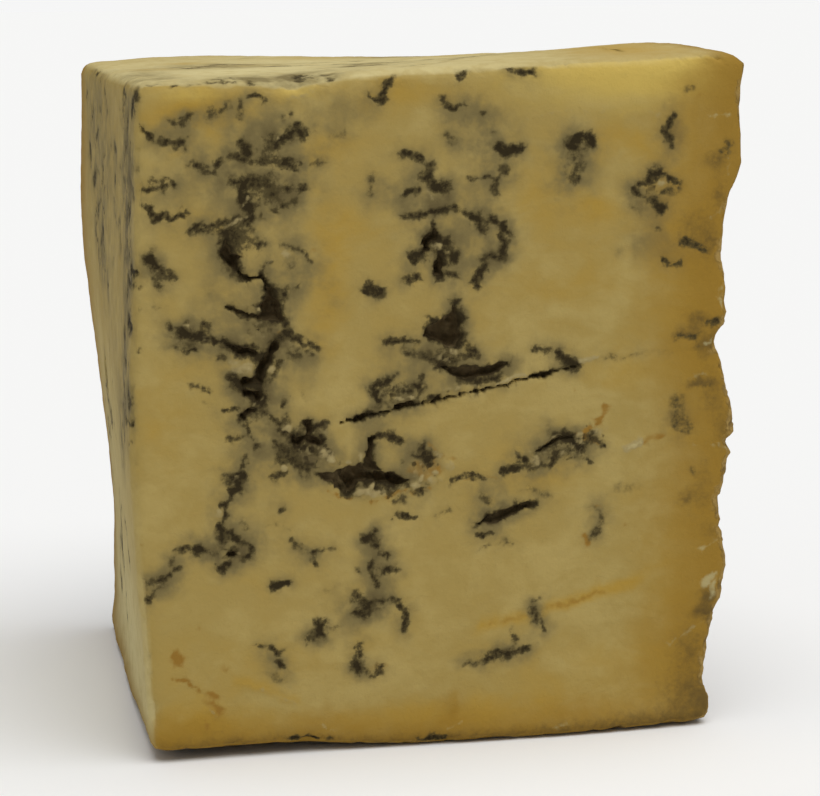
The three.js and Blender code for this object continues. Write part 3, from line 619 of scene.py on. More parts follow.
def paintZones(points, zones):
    clear = np.ones(len(points))
    for u, v, halfU, halfV, strength in zones:
        away = np.hypot((points[:, 0] - u) / halfU, (points[:, 1] - v) / halfV)
        clear *= 1.0 - strength * hump(away)
    return 1.0 - clear


def frontSway(x, z):
    half, length, slant = body["frontSway"]
    return half * (1 + math.sin(2 * math.pi * (x + slant * z) / length))


def toWheel(mesh):
    flat = np.empty(3 * len(mesh.vertices))
    mesh.vertices.foreach_get("co", flat)
    return flat.reshape(-1, 3) / mm - wheelAxis


def fromWheel(mesh, points):
    mesh.vertices.foreach_set("co", ((points + wheelAxis) * mm).ravel())
    mesh.update()


def vertexNormals(mesh):
    flat = np.empty(3 * len(mesh.vertices))
    mesh.vertex_normals.foreach_get("vector", flat)
    return flat.reshape(-1, 3)


# Distance of each point from the wheel's axis, and how squarely it faces away from the axis
def fromAxis(points, normals):
    radius = np.hypot(points[:, 0], points[:, 1])
    return radius, (normals[:, :2] * points[:, :2]).sum(1) / np.maximum(radius, 1.0)


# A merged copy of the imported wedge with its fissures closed, remeshed to an even grid
def evenWedge():
    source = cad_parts["wedge"].data
    block = bmesh.new()
    block.from_mesh(source)
    bmesh.ops.remove_doubles(block, verts=block.verts, dist=body["merge"] * mm)
    (left, right), (shallow, deep), (low, high) = body["fissures"]
    for vert in block.verts:
        x, y, z = (c / mm - a for c, a in zip(vert.co, wheelAxis))
        face = frontSway(x, z)
        if face + shallow < y < deep and left < x < right and low < z < high:
            vert.co.y = (face + wheelAxis[1]) * mm
    mesh = bpy.data.meshes.new("cheese")
    block.to_mesh(mesh)
    block.free()
    cheese = bpy.data.objects.new("cheese", mesh)
    bpy.context.scene.collection.objects.link(cheese)
    grid = cheese.modifiers.new("evenGrid", "REMESH")
    grid.mode = "VOXEL"
    grid.voxel_size = body["voxel"] * mm
    depsgraph = bpy.context.evaluated_depsgraph_get()
    even = bpy.data.meshes.new_from_object(cheese.evaluated_get(depsgraph))
    cheese.modifiers.remove(grid)
    cheese.data = even
    bpy.data.meshes.remove(mesh)
    even.name = "cheese"
    return cheese


# A copy of a stroke or an outline, mirrored and turned about the front's middle, then moved there
def movedShape(shape, mirror, turn, shares, middle):
    numbers = [part for part in shape if not isinstance(part, tuple)]
    lean = math.radians(turn)
    moved = [number * share for number, share in zip(numbers, shares)]
    for across, up in shape[len(numbers):]:
        u, v = mirror * (across - frontMiddle[0]), up - frontMiddle[1]
        moved.append((
            middle[0] + u * math.cos(lean) - v * math.sin(lean),
            middle[1] + u * math.sin(lean) + v * math.cos(lean),
        ))
    return tuple(moved)


# The three cuts: which way each faces, how far it lies behind the plane through the wheel's middle
# at most, in mm, the two directions of its places, and what shows on it
def layOutCuts():
    cuts = {
        "front": {
            "facing": (0.0, -1.0, 0.0), "behind": 12.0, "across": [0, 2],
            "veins": [stroke for group in veinStrokes.values() for stroke in group],
            "cavities": list(cavities.values()), "slits": slits, "marks": rustMarks + scuffsAndLipHighlights + flakes,
            "haze": hazeZones, "murk": murkZones, "pale": [], "gold": goldZones,
        },
        "left": {
            "facing": (-1.0, 0.0, 0.0), "behind": 12.0, "across": [1, 2],
            "veins": list(leftStrokes), "cavities": [], "slits": [], "marks": [],
            "haze": leftHaze, "murk": leftMurk, "pale": leftBounceLight, "gold": [],
        },
        "top": {
            "facing": (0.0, 0.0, 1.0), "behind": -100.0, "across": [0, 1],
            "veins": list(topStrokes), "cavities": [], "slits": [], "marks": [],
            "haze": topHaze, "murk": topMurk, "pale": topLitAndDried, "gold": topGold,
        },
    }
    for name, places in stamps.items():
        for group, mirror, turn, shares, middle in places:
            for stroke in veinStrokes[group]:
                cuts[name]["veins"].append(movedShape(stroke, mirror, turn, shares, middle))
            if group in cavities:
                outline = movedShape(cavities[group], mirror, turn, (stampedDepth,), middle)
                cuts[name]["cavities"].append(outline)
    return cuts


cutFinish = {
    "facing": (0.45, 0.8),  # how squarely a point faces a cut to start and to finish belonging to it
    "swell": (0.16, 14.0, 2, 3.0),  # swells that the wire leaves: height, size, octaves and shift
    "grain": (0.07, 2.2, 4, 9.0),
    "veinDip": (0.25, 0.8),  # mm that veins lie below the cut, and its roughness
    "lift": (0.3, 0.35),  # mm that scuffs and broken patches stand out
    "edge": (0.86, 0.99),  # share of a face below which the edges chip, and above which nothing does
    "edgeChip": (0.9, 0.05, 3.0, 3, 41.0),  # depth, what is left out, size, octaves and shift
    "start": 0.3,  # mm under the skin where the cuts' finish begins
    "goldHidesPale": 0.8,  # share by which gold hides the pale paste and its painted light
    "streakHaze": (1.3, 0.8),  # reach and strength of the golden streaks
    "veinHaze": (2.0, 0.36),
}

crevice = {
    "wall": (0.35, 0.1),  # mm from the rim to the full depth, and what each mm of depth adds
    "reach": (2.5, 1.0),  # mm around cavities and slits that are looked at
    "rim": (0.1, 0.15),  # mm outside cavities and slits where the wall begins
    "cavityTone": (-0.15, 0.2),  # mm inside the rim where the painted shade starts and is full
    "slitTone": (-0.14, 0.12),
    "rough": 0.25,  # share by which the depth comes and goes
    "deepest": 4.5,  # mm at which the painted shade is that of the deepest hollow
}


# How much each point belongs to a cut
def onCut(points, normals, cut):
    onPlane = -(points @ cut["facing"]) < cut["behind"]
    return smoothStep(normals @ cut["facing"], *cutFinish["facing"]) * onPlane


# How deep a cut's cavities and slits reach at each point, and how much painted shade it gets inside them
def sunkTo(flat, cut):
    wall, more = crevice["wall"]
    cavityReach, slitReach = crevice["reach"]
    cavityRim, slitRim = crevice["rim"]
    depth = np.zeros(len(flat))
    hollowShade = np.zeros(len(flat))
    for deepest, *outline in cut["cavities"]:
        near, inside = insideOutline(flat, outline, cavityReach)
        sunk = smoothStep(inside + cavityRim, 0.0, wall + more * deepest)
        depth[near] = np.maximum(depth[near], deepest * sunk)
        hollowShade[near] = np.maximum(hollowShade[near], smoothStep(inside, *crevice["cavityTone"]))
    for width, deepest, *path in cut["slits"]:
        near, away = strokeDistance(flat, path, width / 2 + slitReach)
        sunk = smoothStep(width / 2 + slitRim - away, 0.0, wall)
        depth[near] = np.maximum(depth[near], deepest * sunk)
        hollowShade[near] = np.maximum(hollowShade[near], smoothStep(width / 2 - away, *crevice["slitTone"]))
    return depth, hollowShade


# Points within reach of the veins, marks and crevices of each cut
def nearDetail(points, normals, cuts, reaches):
    near = np.zeros(len(points), bool)
    for name, reach in reaches.items():
        cut = cuts[name]
        mask = onCut(points, normals, cut) > body["fineShare"]
        flat = points[:, cut["across"]]
        for width, _, *path in cut["veins"] + cut["slits"] + cut["marks"]:
            close, away = strokeDistance(flat, path, width / 2 + reach)
            near[close] |= mask[close] & (away < width / 2 + reach)
        for _, *outline in cut["cavities"]:
            close, inside = insideOutline(flat, outline, reach)
            near[close] |= mask[close] & (inside > -reach)
    return near


# 1 well inside a face, less where faces round into each other
def faceShare(points, normals, cuts):
    _, outward = fromAxis(points, normals)
    turned = [normals @ cut["facing"] for cut in cuts.values()]
    return np.stack([*turned, -normals[:, 2], outward]).max(0)


# Splits the grid around the veins, marks and crevices, along the edges, and again on the front
def refineCuts(cheese, cuts):
    block = bmesh.new()
    block.from_mesh(cheese.data)
    rounds, strength = body["evenOut"]
    for _ in range(rounds):
        bmesh.ops.smooth_vert(
            block, verts=block.verts, factor=strength, use_axis_x=True, use_axis_y=True, use_axis_z=True
        )
    for reaches in body["fineReach"]:
        block.normal_update()
        block.verts.ensure_lookup_table()
        points = np.array([v.co for v in block.verts]) / mm - wheelAxis
        normals = np.array([v.normal for v in block.verts])
        near = nearDetail(points, normals, cuts, reaches)
        if len(reaches) > 1:
            share, low = body["fineEdge"]
            near |= (faceShare(points, normals, cuts) < share) & (points[:, 2] > low)
        fine = {block.verts[i] for i in np.flatnonzero(near)}
        edges = [e for e in block.edges if e.verts[0] in fine and e.verts[1] in fine]
        bmesh.ops.subdivide_edges(block, edges=edges, cuts=1, use_grid_fill=True)
    bmesh.ops.triangulate(block, faces=[f for f in block.faces if len(f.verts) > 4])
    bmesh.ops.recalc_face_normals(block, faces=block.faces)
    block.to_mesh(cheese.data)
    triangles = sum(len(f.verts) - 2 for f in block.faces)
    block.free()
    cheese.data.shade_smooth()
    print("mesh refined:", triangles, "triangles")


rindFinish = {
    "facing": 0.8,  # a point that faces outward or down this squarely is skin
    "leastRadius": 88.0,  # mm from the axis that the rind starts at
    "evenOut": 5,  # rounds of evening out where the skin begins
    "baseBand": 2.2,  # a mm of height over the base counts as this many mm under the skin at most
    # depth counts for more round the top: by how much, and the upward shares over which it sets in
    "topBand": (2.0, 0.3, 0.8),
    "skinBlend": 1.6,  # mm from the skin over which the rough surface dies away
    # noise as height, size, octaves and shift
    "lump": (0.8, 10.0, 3, 61.0),
    "wrinkle": (1.2, 5.0, 3, 71.0),
    "wrinkleEdge": 4,  # power that sharpens the wrinkles
    "draw": (2.6, 0.35),  # how the wrinkles' noise is drawn out round the wheel and outwards
    "underside": -0.6,  # normals that point further down than this get no drawn-out wrinkles
    "pit": (1.1, 3.4, 2, 83.0),
    "pitShare": (0.32, 0.7),  # of the noise, where pits begin and are full
    "grit": (0.3, 1.2, 3, 97.0),
    "calmEdge": 8.0,  # mm from the upright cuts over which the rind is smoother
    "calm": (0.85, 0.6, 0.6),  # by which share, at the front cut, the left cut and the top
    "calmTop": (103.0, 111.0),  # heights over which the top's calm sets in
    "profileReach": 0.35,  # radians round the wheel over which the profile dies away
    "profileRadius": 85.0,  # mm from the axis that it starts at
    "reliefShading": 0.35,  # what a mm of relief adds to the tone that colours the crust: painted shade in its sunk parts, creases and pits
    "lipWidth": 4.0,  # mm from the front cut over which the rind is paler
    "riseDepth": (2.0, 5.0),  # mm under the skin over which the browned rises set in
}


# Evens a value out over neighbouring vertices
def evenOut(mesh, values, rounds):
    ends = np.empty(2 * len(mesh.edges), np.int32)
    mesh.edges.foreach_get("vertices", ends)
    starts, stops = ends.reshape(-1, 2).T
    neighbours = np.bincount(ends, minlength=len(values))
    for _ in range(rounds):
        total = np.bincount(starts, values[stops], len(values))
        total += np.bincount(stops, values[starts], len(values))
        values = 0.5 * (values + total / neighbours)
    return values


# How deep each point lies under the skin, in mm: 0 all over the rind and the base
def skinDepth(points, normals):
    radius, outward = fromAxis(points, normals)
    isRind = (outward > rindFinish["facing"]) & (radius > rindFinish["leastRadius"])
    isBase = normals[:, 2] < -rindFinish["facing"]
    tree = kdtree.KDTree(int(isRind.sum()))
    for number, spot in enumerate(points[isRind]):
        tree.insert(spot, number)
    tree.balance()
    depth = np.zeros(len(points))
    for i in np.flatnonzero(~(isRind | isBase)):
        depth[i] = tree.find(points[i])[2]
    more, low, high = rindFinish["topBand"]
    depth *= 1 + more * smoothStep(normals[:, 2], low, high)
    return np.minimum(depth, rindFinish["baseBand"] * points[:, 2]) * ~isBase


# What each cut's strokes, zones and crevices paint, and how far the crevices push the points in
def paintCuts(points, normals, cuts, drift, noises):
    names = ("vein", "haze", "murk", "gold", "pale", "hollowShade", "sunk")
    tones = {name: np.zeros(len(points)) for name in names}
    push = np.zeros((len(points), 3))
    for cut in cuts.values():
        mask = onCut(points, normals, cut)
        flat = points[:, cut["across"]]
        zoned = flat + brush["zoneDrift"] * drift
        around = hazeStrokes(flat + drift, cut["veins"], *cutFinish["veinHaze"])
        golden = paintZones(zoned, cut["gold"])
        sunk, inside = sunkTo(flat + drift * brush["hollowDrift"], cut)
        sunk *= 1 + crevice["rough"] * noises["rough"]
        painted = {
            "vein": paintStrokes(flat + drift, cut["veins"], noises["ragged"], noises["swollen"]),
            "haze": 1 - (1 - around) * (1 - paintZones(zoned, cut["haze"])),
            "murk": paintZones(flat + drift, cut["murk"]),
            "gold": golden,
            # pale patches: painted light, hidden where the paste is golden
            "pale": paintZones(flat, cut["pale"]) * (1 - cutFinish["goldHidesPale"] * mask * golden),
            "hollowShade": inside,
            "sunk": sunk,
        }
        for name, values in painted.items():
            tones[name] = np.maximum(tones[name], mask * values)
        push -= (mask * sunk)[:, None] * cut["facing"]
    tones["sunk"] /= crevice["deepest"]
    return tones, push


crumbFinish = {
    "length": 0.3,  # a crumb is this much of its size longer than wide
    "reach": 3.0,  # how many times its size it is looked for
    "steep": 1.2,  # how fast it falls off around its middle
    "rough": (0.85, 0.5),  # share of its height, and what the roughness adds
    "pale": 0.75,  # strength of its tone
    "covers": 0.7,  # share of the veins and hollows that it hides
    "fills": 0.5,  # share of a crevice's depth that it fills
}


# What shows on the front cut alone. Gives how far its crumbs, scuffs and lips stand out, in mm.
def paintFront(mask, flat, depth, drift, noises, tones, push):
    rough, rims = noises["rough"], (noises["ragged"], noises["swollen"])
    zoned = flat + brush["zoneDrift"] * drift
    warm = mask * hazeStrokes(flat + drift, warmStreaks, *cutFinish["streakHaze"])
    tones["gold"] = np.maximum(tones["gold"], warm)
    # painted highlight along the top edge
    tones["highlight"] = mask * paintZones(flat, highlightZones)
    tones["blot"] = mask * paintZones(flat + drift, rimBlots)
    tones["rust"] = mask * paintStrokes(flat + drift, rustMarks, *rims)
    tones["flake"] = mask * paintStrokes(flat + drift, flakes, *rims)
    # pale scuffs and crumbs, with a painted highlight on the lips over the crack
    crumb = mask * paintStrokes(flat + drift * brush["scuffDrift"], scuffsAndLipHighlights, *rims)
    # broken patches stand out where the noise rises, and get painted shade in the gaps where it dips
    rubble = mask * paintZones(flat, rubbleZones) * rough * (1 - tones["hollowShade"])
    risen = mask * paintZones(zoned, brownRises) * smoothStep(depth, *rindFinish["riseDepth"])
    scuffLift, rubbleLift = cutFinish["lift"]
    lift = scuffLift * crumb + rubbleLift * rubble
    least, more = crumbFinish["rough"]
    for x, z, size, height in crumbs:
        path = [(x, z), (x + crumbFinish["length"] * size, z)]
        near, away = strokeDistance(flat + drift, path, crumbFinish["reach"] * size)
        bump = mask[near] * hump((crumbFinish["steep"] * away / size) ** 2) * (least + more * rough[near])
        lift[near] = np.maximum(lift[near], height * bump)
        crumb[near] = np.maximum(crumb[near], crumbFinish["pale"] * bump)
        for name in ("vein", "hollowShade"):
            tones[name][near] *= 1 - crumbFinish["covers"] * bump
        push[near] *= (1 - crumbFinish["fills"] * bump)[:, None]
    tones["crumb"] = crumb
    tones["rubble"] = 0.5 + 0.5 * rubble  # a half where nothing is broken
    tones["depth"] = depth * (1 - risen)  # mm
    return lift


# The cuts: swells, grain, dips along the veins, and chips where two faces meet
def cutRelief(points, normals, cuts, depth, vein, rough, lift):
    share = smoothStep(depth, cutFinish["start"], cutFinish["start"] + rindFinish["skinBlend"])
    dip, uneven = cutFinish["veinDip"]
    move = share * (bumps(points, *cutFinish["swell"]) + bumps(points, *cutFinish["grain"]))
    move += share * (lift - dip * vein * (1 + uneven * rough))
    edge = 1 - smoothStep(faceShare(points, normals, cuts), *cutFinish["edge"])
    chipDepth, spared, *kind = cutFinish["edgeChip"]
    return move - edge * chipDepth * np.maximum(bumps(points, 1.0, *kind) - spared, 0.0)


# The rind: lumps, wrinkles drawn out round the wheel, pits and grit
def rindRelief(points, normals, bearing, radius):
    draw, outwards = rindFinish["draw"]
    wound = np.stack([bearing * radius / draw, outwards * radius, points[:, 2]], 1)
    under = normals[:, 2] < rindFinish["underside"]
    wound[under] = points[under]
    wrinkle, *wrinkleKind = rindFinish["wrinkle"]
    pit, *pitKind = rindFinish["pit"]
    relief = bumps(points, *rindFinish["lump"])
    relief -= wrinkle * (1 - np.abs(bumps(wound, 1.0, *wrinkleKind))) ** rindFinish["wrinkleEdge"]
    relief -= pit * smoothStep(bumps(points, 1.0, *pitKind), *rindFinish["pitShare"])
    return relief + bumps(points, *rindFinish["grit"])


# Share of the rind's relief that is kept: it fades towards the upright cuts and round the top
def rindCalm(points):
    atFront, atLeft, atTop = rindFinish["calm"]
    calm = 1 - atFront * hump(points[:, 1] / rindFinish["calmEdge"])
    calm *= 1 - atLeft * hump(points[:, 0] / rindFinish["calmEdge"])
    return calm * (1 - atTop * smoothStep(points[:, 2], *rindFinish["calmTop"]))


swells = {
    # the front's foot stands out: mm, x, half width, half height and half depth
    "foot": (1.4, 74.0, 24.0, 4.0, 6.0),
    # the left cut swells near the rind: mm, height and half height
    "left": [(0.9, 84.0, 14.0), (-0.5, 24.0, 6.0), (0.8, 1.0, 4.5)],
    "leftFrom": (55.0, 95.0),  # y over which it sets in
    "leftDepth": 12.0,
}


# Moves the outline in and out beside the front cut, at its foot and at the back of the left cut
def swellOutline(points, bearing, radius, push):
    beside = hump(bearing / rindFinish["profileReach"]) * (radius > rindFinish["profileRadius"])
    radial = points * (1.0, 1.0, 0.0) / np.maximum(radius, 1.0)[:, None]
    heights, outs = zip(*rimProfile)
    push += (beside * np.interp(points[:, 2], heights, outs))[:, None] * radial
    out, middle, half, tall, deep = swells["foot"]
    lip = out * hump((points[:, 0] - middle) / half) * hump(points[:, 2] / tall)
    push[:, 1] -= lip * hump(points[:, 1] / deep)
    for out, level, tall in swells["left"]:
        swell = out * hump((points[:, 2] - level) / tall) * smoothStep(points[:, 1], *swells["leftFrom"])
        push[:, 0] -= swell * hump(points[:, 0] / swells["leftDepth"])


def shapeAndPaint(cheese, cuts):
    mesh = cheese.data
    points = toWheel(mesh)
    normals = vertexNormals(mesh)
    radius, _ = fromAxis(points, normals)
    bearing = np.arctan2(points[:, 1], points[:, 0])
    depth = evenOut(mesh, skinDepth(points, normals), rindFinish["evenOut"])
    print("skin found")

    drift = np.stack([sum(bumps(points, *kind) for kind in way) for way in brush["drift"]], 1)
    noises = {name: bumps(points, *brush[name]) for name in ("ragged", "swollen", "rough")}
    tones, push = paintCuts(points, normals, cuts, drift, noises)
    front = cuts["front"]
    mask = onCut(points, normals, front)
    lift = paintFront(mask, points[:, front["across"]], depth, drift, noises, tones, push)
    print("veins painted")

    relief = rindRelief(points, normals, bearing, radius)
    move = cutRelief(points, normals, cuts, depth, tones["vein"], noises["rough"], lift)
    move += (1 - smoothStep(depth, 0.0, rindFinish["skinBlend"])) * relief * rindCalm(points)
    swellOutline(points, bearing, radius, push)
    shaped = points + normals * move[:, None] + push
    shaped[:, 2] = np.maximum(shaped[:, 2], 0.0)
    fromWheel(mesh, shaped)
    print("surface shaped")

    # the rind's relief, which sets the painted shade in its creases and pits
    tones["relief"] = np.clip(0.5 + rindFinish["reliefShading"] * relief, 0, 1)
    tones["rindEdge"] = hump(points[:, 1] / rindFinish["lipWidth"])
    for name, values in tones.items():
        attribute = mesh.attributes.new(name, "FLOAT", "POINT")
        attribute.data.foreach_set("value", values.astype(np.float32))


# Colours are given as they look on a screen, 0 to 255
def tone(red, green, blue):
    shares = [c / 255 for c in (red, green, blue)]
    return [c / 12.92 if c <= 0.04045 else ((c + 0.055) / 1.055) ** 2.4 for c in shares] + [1.0]


cheeseTones = {
    "paste": tone(169, 146, 84),
    "pastePale": tone(180, 158, 96),
    # painted highlight of the rounded top edge
    "pasteGold": tone(176, 142, 60),
    "pasteHighlight": tone(204, 176, 92),
    # pale paste: painted light on the left cut, the top and the lips over the crack, the top partly drier too
    "pasteLitPale": tone(210, 196, 143),
    "pasteHaze": tone(127, 113, 73),
    "deepHaze": tone(98, 86, 57),
    "veinEdge": tone(80, 70, 44),
    "veinCore": tone(52, 44, 28),
    # painted shade inside cavities and slits, lighter on their floors
    "hollowShade": tone(62, 52, 34),
    "deepHollowShade": tone(128, 110, 77),
    "crumb": tone(166, 149, 102),
    "flake": tone(186, 174, 126),
    "rust": tone(150, 114, 50),
    "blot": tone(98, 80, 46),
    "underRind": tone(154, 120, 48),
    "rind": tone(142, 116, 70),
    # painted shade of the rind's sunk parts and creases
    "rindSunkShade": tone(102, 84, 54),
    "rindCreaseShade": tone(70, 56, 34),
    "rindLip": tone(172, 142, 82),
    "bloom": tone(176, 164, 130),
}

# Noise of the colours: size in mm, detail, roughness and distortion
grains = {
    "cloud": (15.0, 3.0, 0.5, 0.0),
    "flow": (9.0, 4.0, 0.55, 0.6),
    "mottle": (3.2, 4.0, 0.6, 0.0),
    "speck": (0.8, 3.0, 0.6, 0.0),
    "patchy": (1.9, 3.0, 0.6, 0.0),
    "island": (5.0, 3.0, 0.6, 0.0),
    "warm": (22.0, 2.0, 0.55, 0.0),
    "dust": (14.0, 5.0, 0.7, 0.0),
    "fine": (0.7, 4.0, 0.65, 0.0),
}
flowing = {"stretch": (1.0, 1.0, 1.6), "lean": -8}  # how the flow's noise is drawn out, and degrees

# Noise that frays each mask: the strength of each grain
frays = {
    "paler": {"cloud": -1.0, "flow": -1.0, "mottle": 0.6},
    "gold": {"cloud": 0.8, "flow": 0.9},
    "highlight": {"flow": 0.5},
    "haze": {"mottle": 0.35, "patchy": 0.3},
    "murk": {"patchy": 1.2, "speck": 1.4},
    "depth": {"mottle": 5.0},
    "blot": {"patchy": 0.5, "speck": 0.6},
    "flake": {"speck": 0.7, "patchy": 0.5},
    "rust": {"patchy": 0.5},
    "vein": {"patchy": 0.9, "speck": 1.3},
    "sunk": {"patchy": 1.5},
    "crumb": {"speck": 0.7, "patchy": 0.4},
    "relief": {"patchy": 0.35, "speck": 0.4},
}

# How noise and masks thin one another out: where the ramp starts and ends, and its shares there
thinning = {
    "paleByMottle": (0.3, 0.6, 0.6, 1.0),
    "hazeByIslands": (0.35, 0.6, 0.6, 1.25),
    "frayByMurk": (0.0, 0.4),
    "frayByVein": (0.05, 0.5),
    "bloomByDust": (0.38, 0.68, 0.1, 0.8),
    "bloomByRelief": (0.35, 0.75),
    "bloomBySpeck": (0.3, 0.65, 0.5, 1.0),
    "lipByPatches": (0.3, 0.55, 0.35, 1.0),
}

# Layers of colour from the lowest up: mask, tone, then a ramp over the mask, where it is one: where
# it starts and ends, and the tone's shares there
pasteLayers = [
    ("paler", "pastePale", -0.15, 0.35),
    ("gold", "pasteGold", 0.0, 1.1),
    # painted highlight along the top edge
    ("highlight", "pasteHighlight", 0.1, 0.9),
    # painted light: bounced up on the left cut, from above on the top, which is partly drier too
    ("pale", "pasteLitPale"),
    ("haze", "pasteHaze", 0.0, 0.65, 0.0, 0.95),
    ("haze", "deepHaze", 0.5, 1.1),
    ("murk", "veinEdge", 0.25, 0.8, 0.0, 0.9),
    ("depth", "underRind", 1.0, 19.0, 0.95, 0.0),
    ("blot", "blot", 0.1, 1.0, 0.0, 0.9),
    ("flake", "flake", 0.2, 0.85, 0.0, 0.75),
    ("rust", "rust", 0.15, 0.75),
    ("vein", "veinEdge", 0.08, 0.5, 0.0, 0.9),
    ("vein", "veinCore", 0.42, 0.85, 0.0, 0.95),
    # broken patches: pale crumb tone on the raised bits, painted shade in the gaps between them
    ("rubble", "crumb", 0.56, 0.8, 0.0, 0.6),
    ("rubble", "veinCore", 0.45, 0.34, 0.0, 0.75),
    # painted shade inside cavities and slits
    ("hollowShade", "inside", 0.3, 0.7),
    ("crumb", "crumb", 0.25, 0.75, 0.0, 0.9),
    # the palest strokes, chiefly the lips over the crack, get a painted highlight
    ("crumb", "pasteLitPale", 0.7, 1.2, 0.0, 0.35),
]
# the crust's tone follows its relief: painted shade darkens the sunk parts and creases, and the pale bloom
# keeps to the raised bits
crustLayers = [
    ("relief", "rind", 0.25, 0.62),
    ("warm", "underRind", 0.5, 0.7, 0.0, 0.5),
    ("bloom", "bloom"),
    ("relief", "rindCreaseShade", 0.3, 0.05, 0.0, 0.7),
    ("lip", "rindLip"),
]

# Given for the paste, then for the rind
surface = {
    "skin": (0.4, 1.6, 1.0, 0.0),  # mm under the skin where the crust ends and the paste begins
    "roughness": (0.62, 0.9),
    "mottledRoughness": 0.25,
    "fineBump": (0.28, 0.9),
    "mottleBump": (0.45, 1.4),
    "veinBump": 0.18,
    "bump": (0.8, 0.6),  # strength, and depth in mm
    "refraction": 1.42,
    "specular": 0.03,
}


# Places nodes in a material's tree
class NodeBench:
    def __init__(self, tree):
        self.tree = tree

    def put(self, kind, **settings):
        node = self.tree.nodes.new(kind)
        for name, value in settings.items():
            setattr(node, name, value)
        return node

    def join(self, source, socket):
        if isinstance(source, bpy.types.NodeSocket):
            self.tree.links.new(source, socket)
        else:
            socket.default_value = source

    # Fills the node's sockets, given by name or number, and returns one of its results
    def fill(self, node, result, sources):
        for socket, source in sources.items():
            self.join(source, node.inputs[socket])
        return node.outputs[result]

    def math(self, operation, first, second=0.0, clamp=False):
        node = self.put("ShaderNodeMath", operation=operation, use_clamp=clamp)
        return self.fill(node, 0, {0: first, 1: second})

    def total(self, first, *others):
        return self.math("ADD", first, self.total(*others)) if others else first

    def product(self, first, second):
        return self.math("MULTIPLY", first, second)

    def ramp(self, value, low, high, first=0.0, last=1.0):
        node = self.put("ShaderNodeMapRange", interpolation_type="SMOOTHSTEP")
        return self.fill(node, 0, dict(enumerate((value, low, high, first, last))))

    def mix(self, share, first, second):
        node = self.put("ShaderNodeMix", data_type="RGBA")
        return self.fill(node, "Result", {"Factor": share, "A": first, "B": second})

    def scaled(self, vector, scale, rotation=(0.0, 0.0, 0.0)):
        node = self.put("ShaderNodeMapping")
        return self.fill(node, "Vector", {"Vector": vector, "Scale": scale, "Rotation": rotation})

    def noise(self, vector, size, detail, roughness, distortion):
        settings = {"Scale": 1 / size, "Detail": detail, "Roughness": roughness, "Distortion": distortion}
        return self.fill(self.put("ShaderNodeTexNoise"), "Fac", {"Vector": vector, **settings})

    def tone(self, name):
        return self.put("ShaderNodeAttribute", attribute_name=name).outputs["Fac"]


def cheeseMaterial():
    material = bpy.data.materials.new("cheese")
    material.use_nodes = True
    tree = material.node_tree
    shader = tree.nodes["Principled BSDF"]
    bench = NodeBench(tree)
    mix, ramp, total, product = bench.mix, bench.ramp, bench.total, bench.product

    place = bench.put("ShaderNodeTexCoord").outputs["Object"]
    spot = bench.scaled(place, (1 / mm, 1 / mm, 1 / mm))
    flow = bench.scaled(spot, flowing["stretch"], (0.0, math.radians(flowing["lean"]), 0.0))
    grain = {name: bench.noise(flow if name == "flow" else spot, *kind) for name, kind in grains.items()}

    # noise around 0, one for each grain that frays a mask
    def sways(name):
        return [product(bench.math("SUBTRACT", grain[kind], 0.5), much) for kind, much in frays[name].items()]

    def thinned(value, name):
        return ramp(value, *thinning[name])

    frayed = ("gold", "highlight", "depth", "blot", "flake", "rust", "crumb", "relief")
    masks = {name: total(bench.tone(name), *sways(name)) for name in frayed}
    masks["paler"] = total(*sways("paler"))
    masks["pale"] = product(bench.tone("pale"), thinned(grain["mottle"], "paleByMottle"))
    masks["haze"] = product(bench.tone("haze"), thinned(grain["island"], "hazeByIslands"))
    masks["haze"] = total(masks["haze"], total(*sways("haze")))
    for name, thin in (("murk", "frayByMurk"), ("vein", "frayByVein")):
        painted = bench.tone(name)
        masks[name] = total(painted, product(total(*sways(name)), thinned(painted, thin)))
    masks["rubble"] = bench.tone("rubble")
    masks["hollowShade"] = bench.tone("hollowShade")
    masks["warm"] = grain["warm"]
    dusty = product(thinned(grain["dust"], "bloomByDust"), thinned(masks["relief"], "bloomByRelief"))
    masks["bloom"] = product(dusty, thinned(grain["speck"], "bloomBySpeck"))
    masks["lip"] = product(bench.tone("rindEdge"), thinned(grain["patchy"], "lipByPatches"))

    # painted shade in the hollows: lighter on their floors than at their rims, as the render darkens the
    # floors itself
    deep = bench.math("ADD", bench.tone("sunk"), *sways("sunk"), clamp=True)
    colours = {**cheeseTones, "inside": mix(deep, cheeseTones["hollowShade"], cheeseTones["deepHollowShade"])}

    def layered(colour, layers):
        for mask, name, *span in layers:
            colour = mix(ramp(masks[mask], *span) if span else masks[mask], colour, colours[name])
        return colour

    paste = layered(colours["paste"], pasteLayers)
    crust = layered(colours["rindSunkShade"], crustLayers)
    skin = ramp(masks["depth"], *surface["skin"])
    bench.join(mix(skin, paste, crust), shader.inputs["Base Color"])

    def bySkin(name):
        return ramp(skin, 0.0, 1.0, *surface[name])

    mottled = product(bench.math("SUBTRACT", grain["mottle"], 0.5), surface["mottledRoughness"])
    bench.join(bench.math("ADD", bySkin("roughness"), mottled, clamp=True), shader.inputs["Roughness"])
    height = total(product(grain["fine"], bySkin("fineBump")), product(grain["mottle"], bySkin("mottleBump")))
    height = bench.math("SUBTRACT", height, product(masks["vein"], surface["veinBump"]))
    strength, deepness = surface["bump"]
    sources = {"Strength": strength, "Distance": deepness * mm, "Height": height}
    bench.join(bench.fill(bench.put("ShaderNodeBump"), "Normal", sources), shader.inputs["Normal"])
    shader.inputs["IOR"].default_value = surface["refraction"]
    shader.inputs["Specular IOR Level"].default_value = surface["specular"]
    return material


studio = {
    "floorSize": 60.0,  # m
    "floorTone": tone(243, 243, 242),
    "skyStrength": 0.3,
    "backdrop": tone(246, 246, 246),
    "sunStrength": 2.38,
    "sunSize": 62.0,  # degrees across, so its shadows are soft
    "sunTilt": (15.0, 35.0),  # degrees from overhead, and towards the right of the front
}


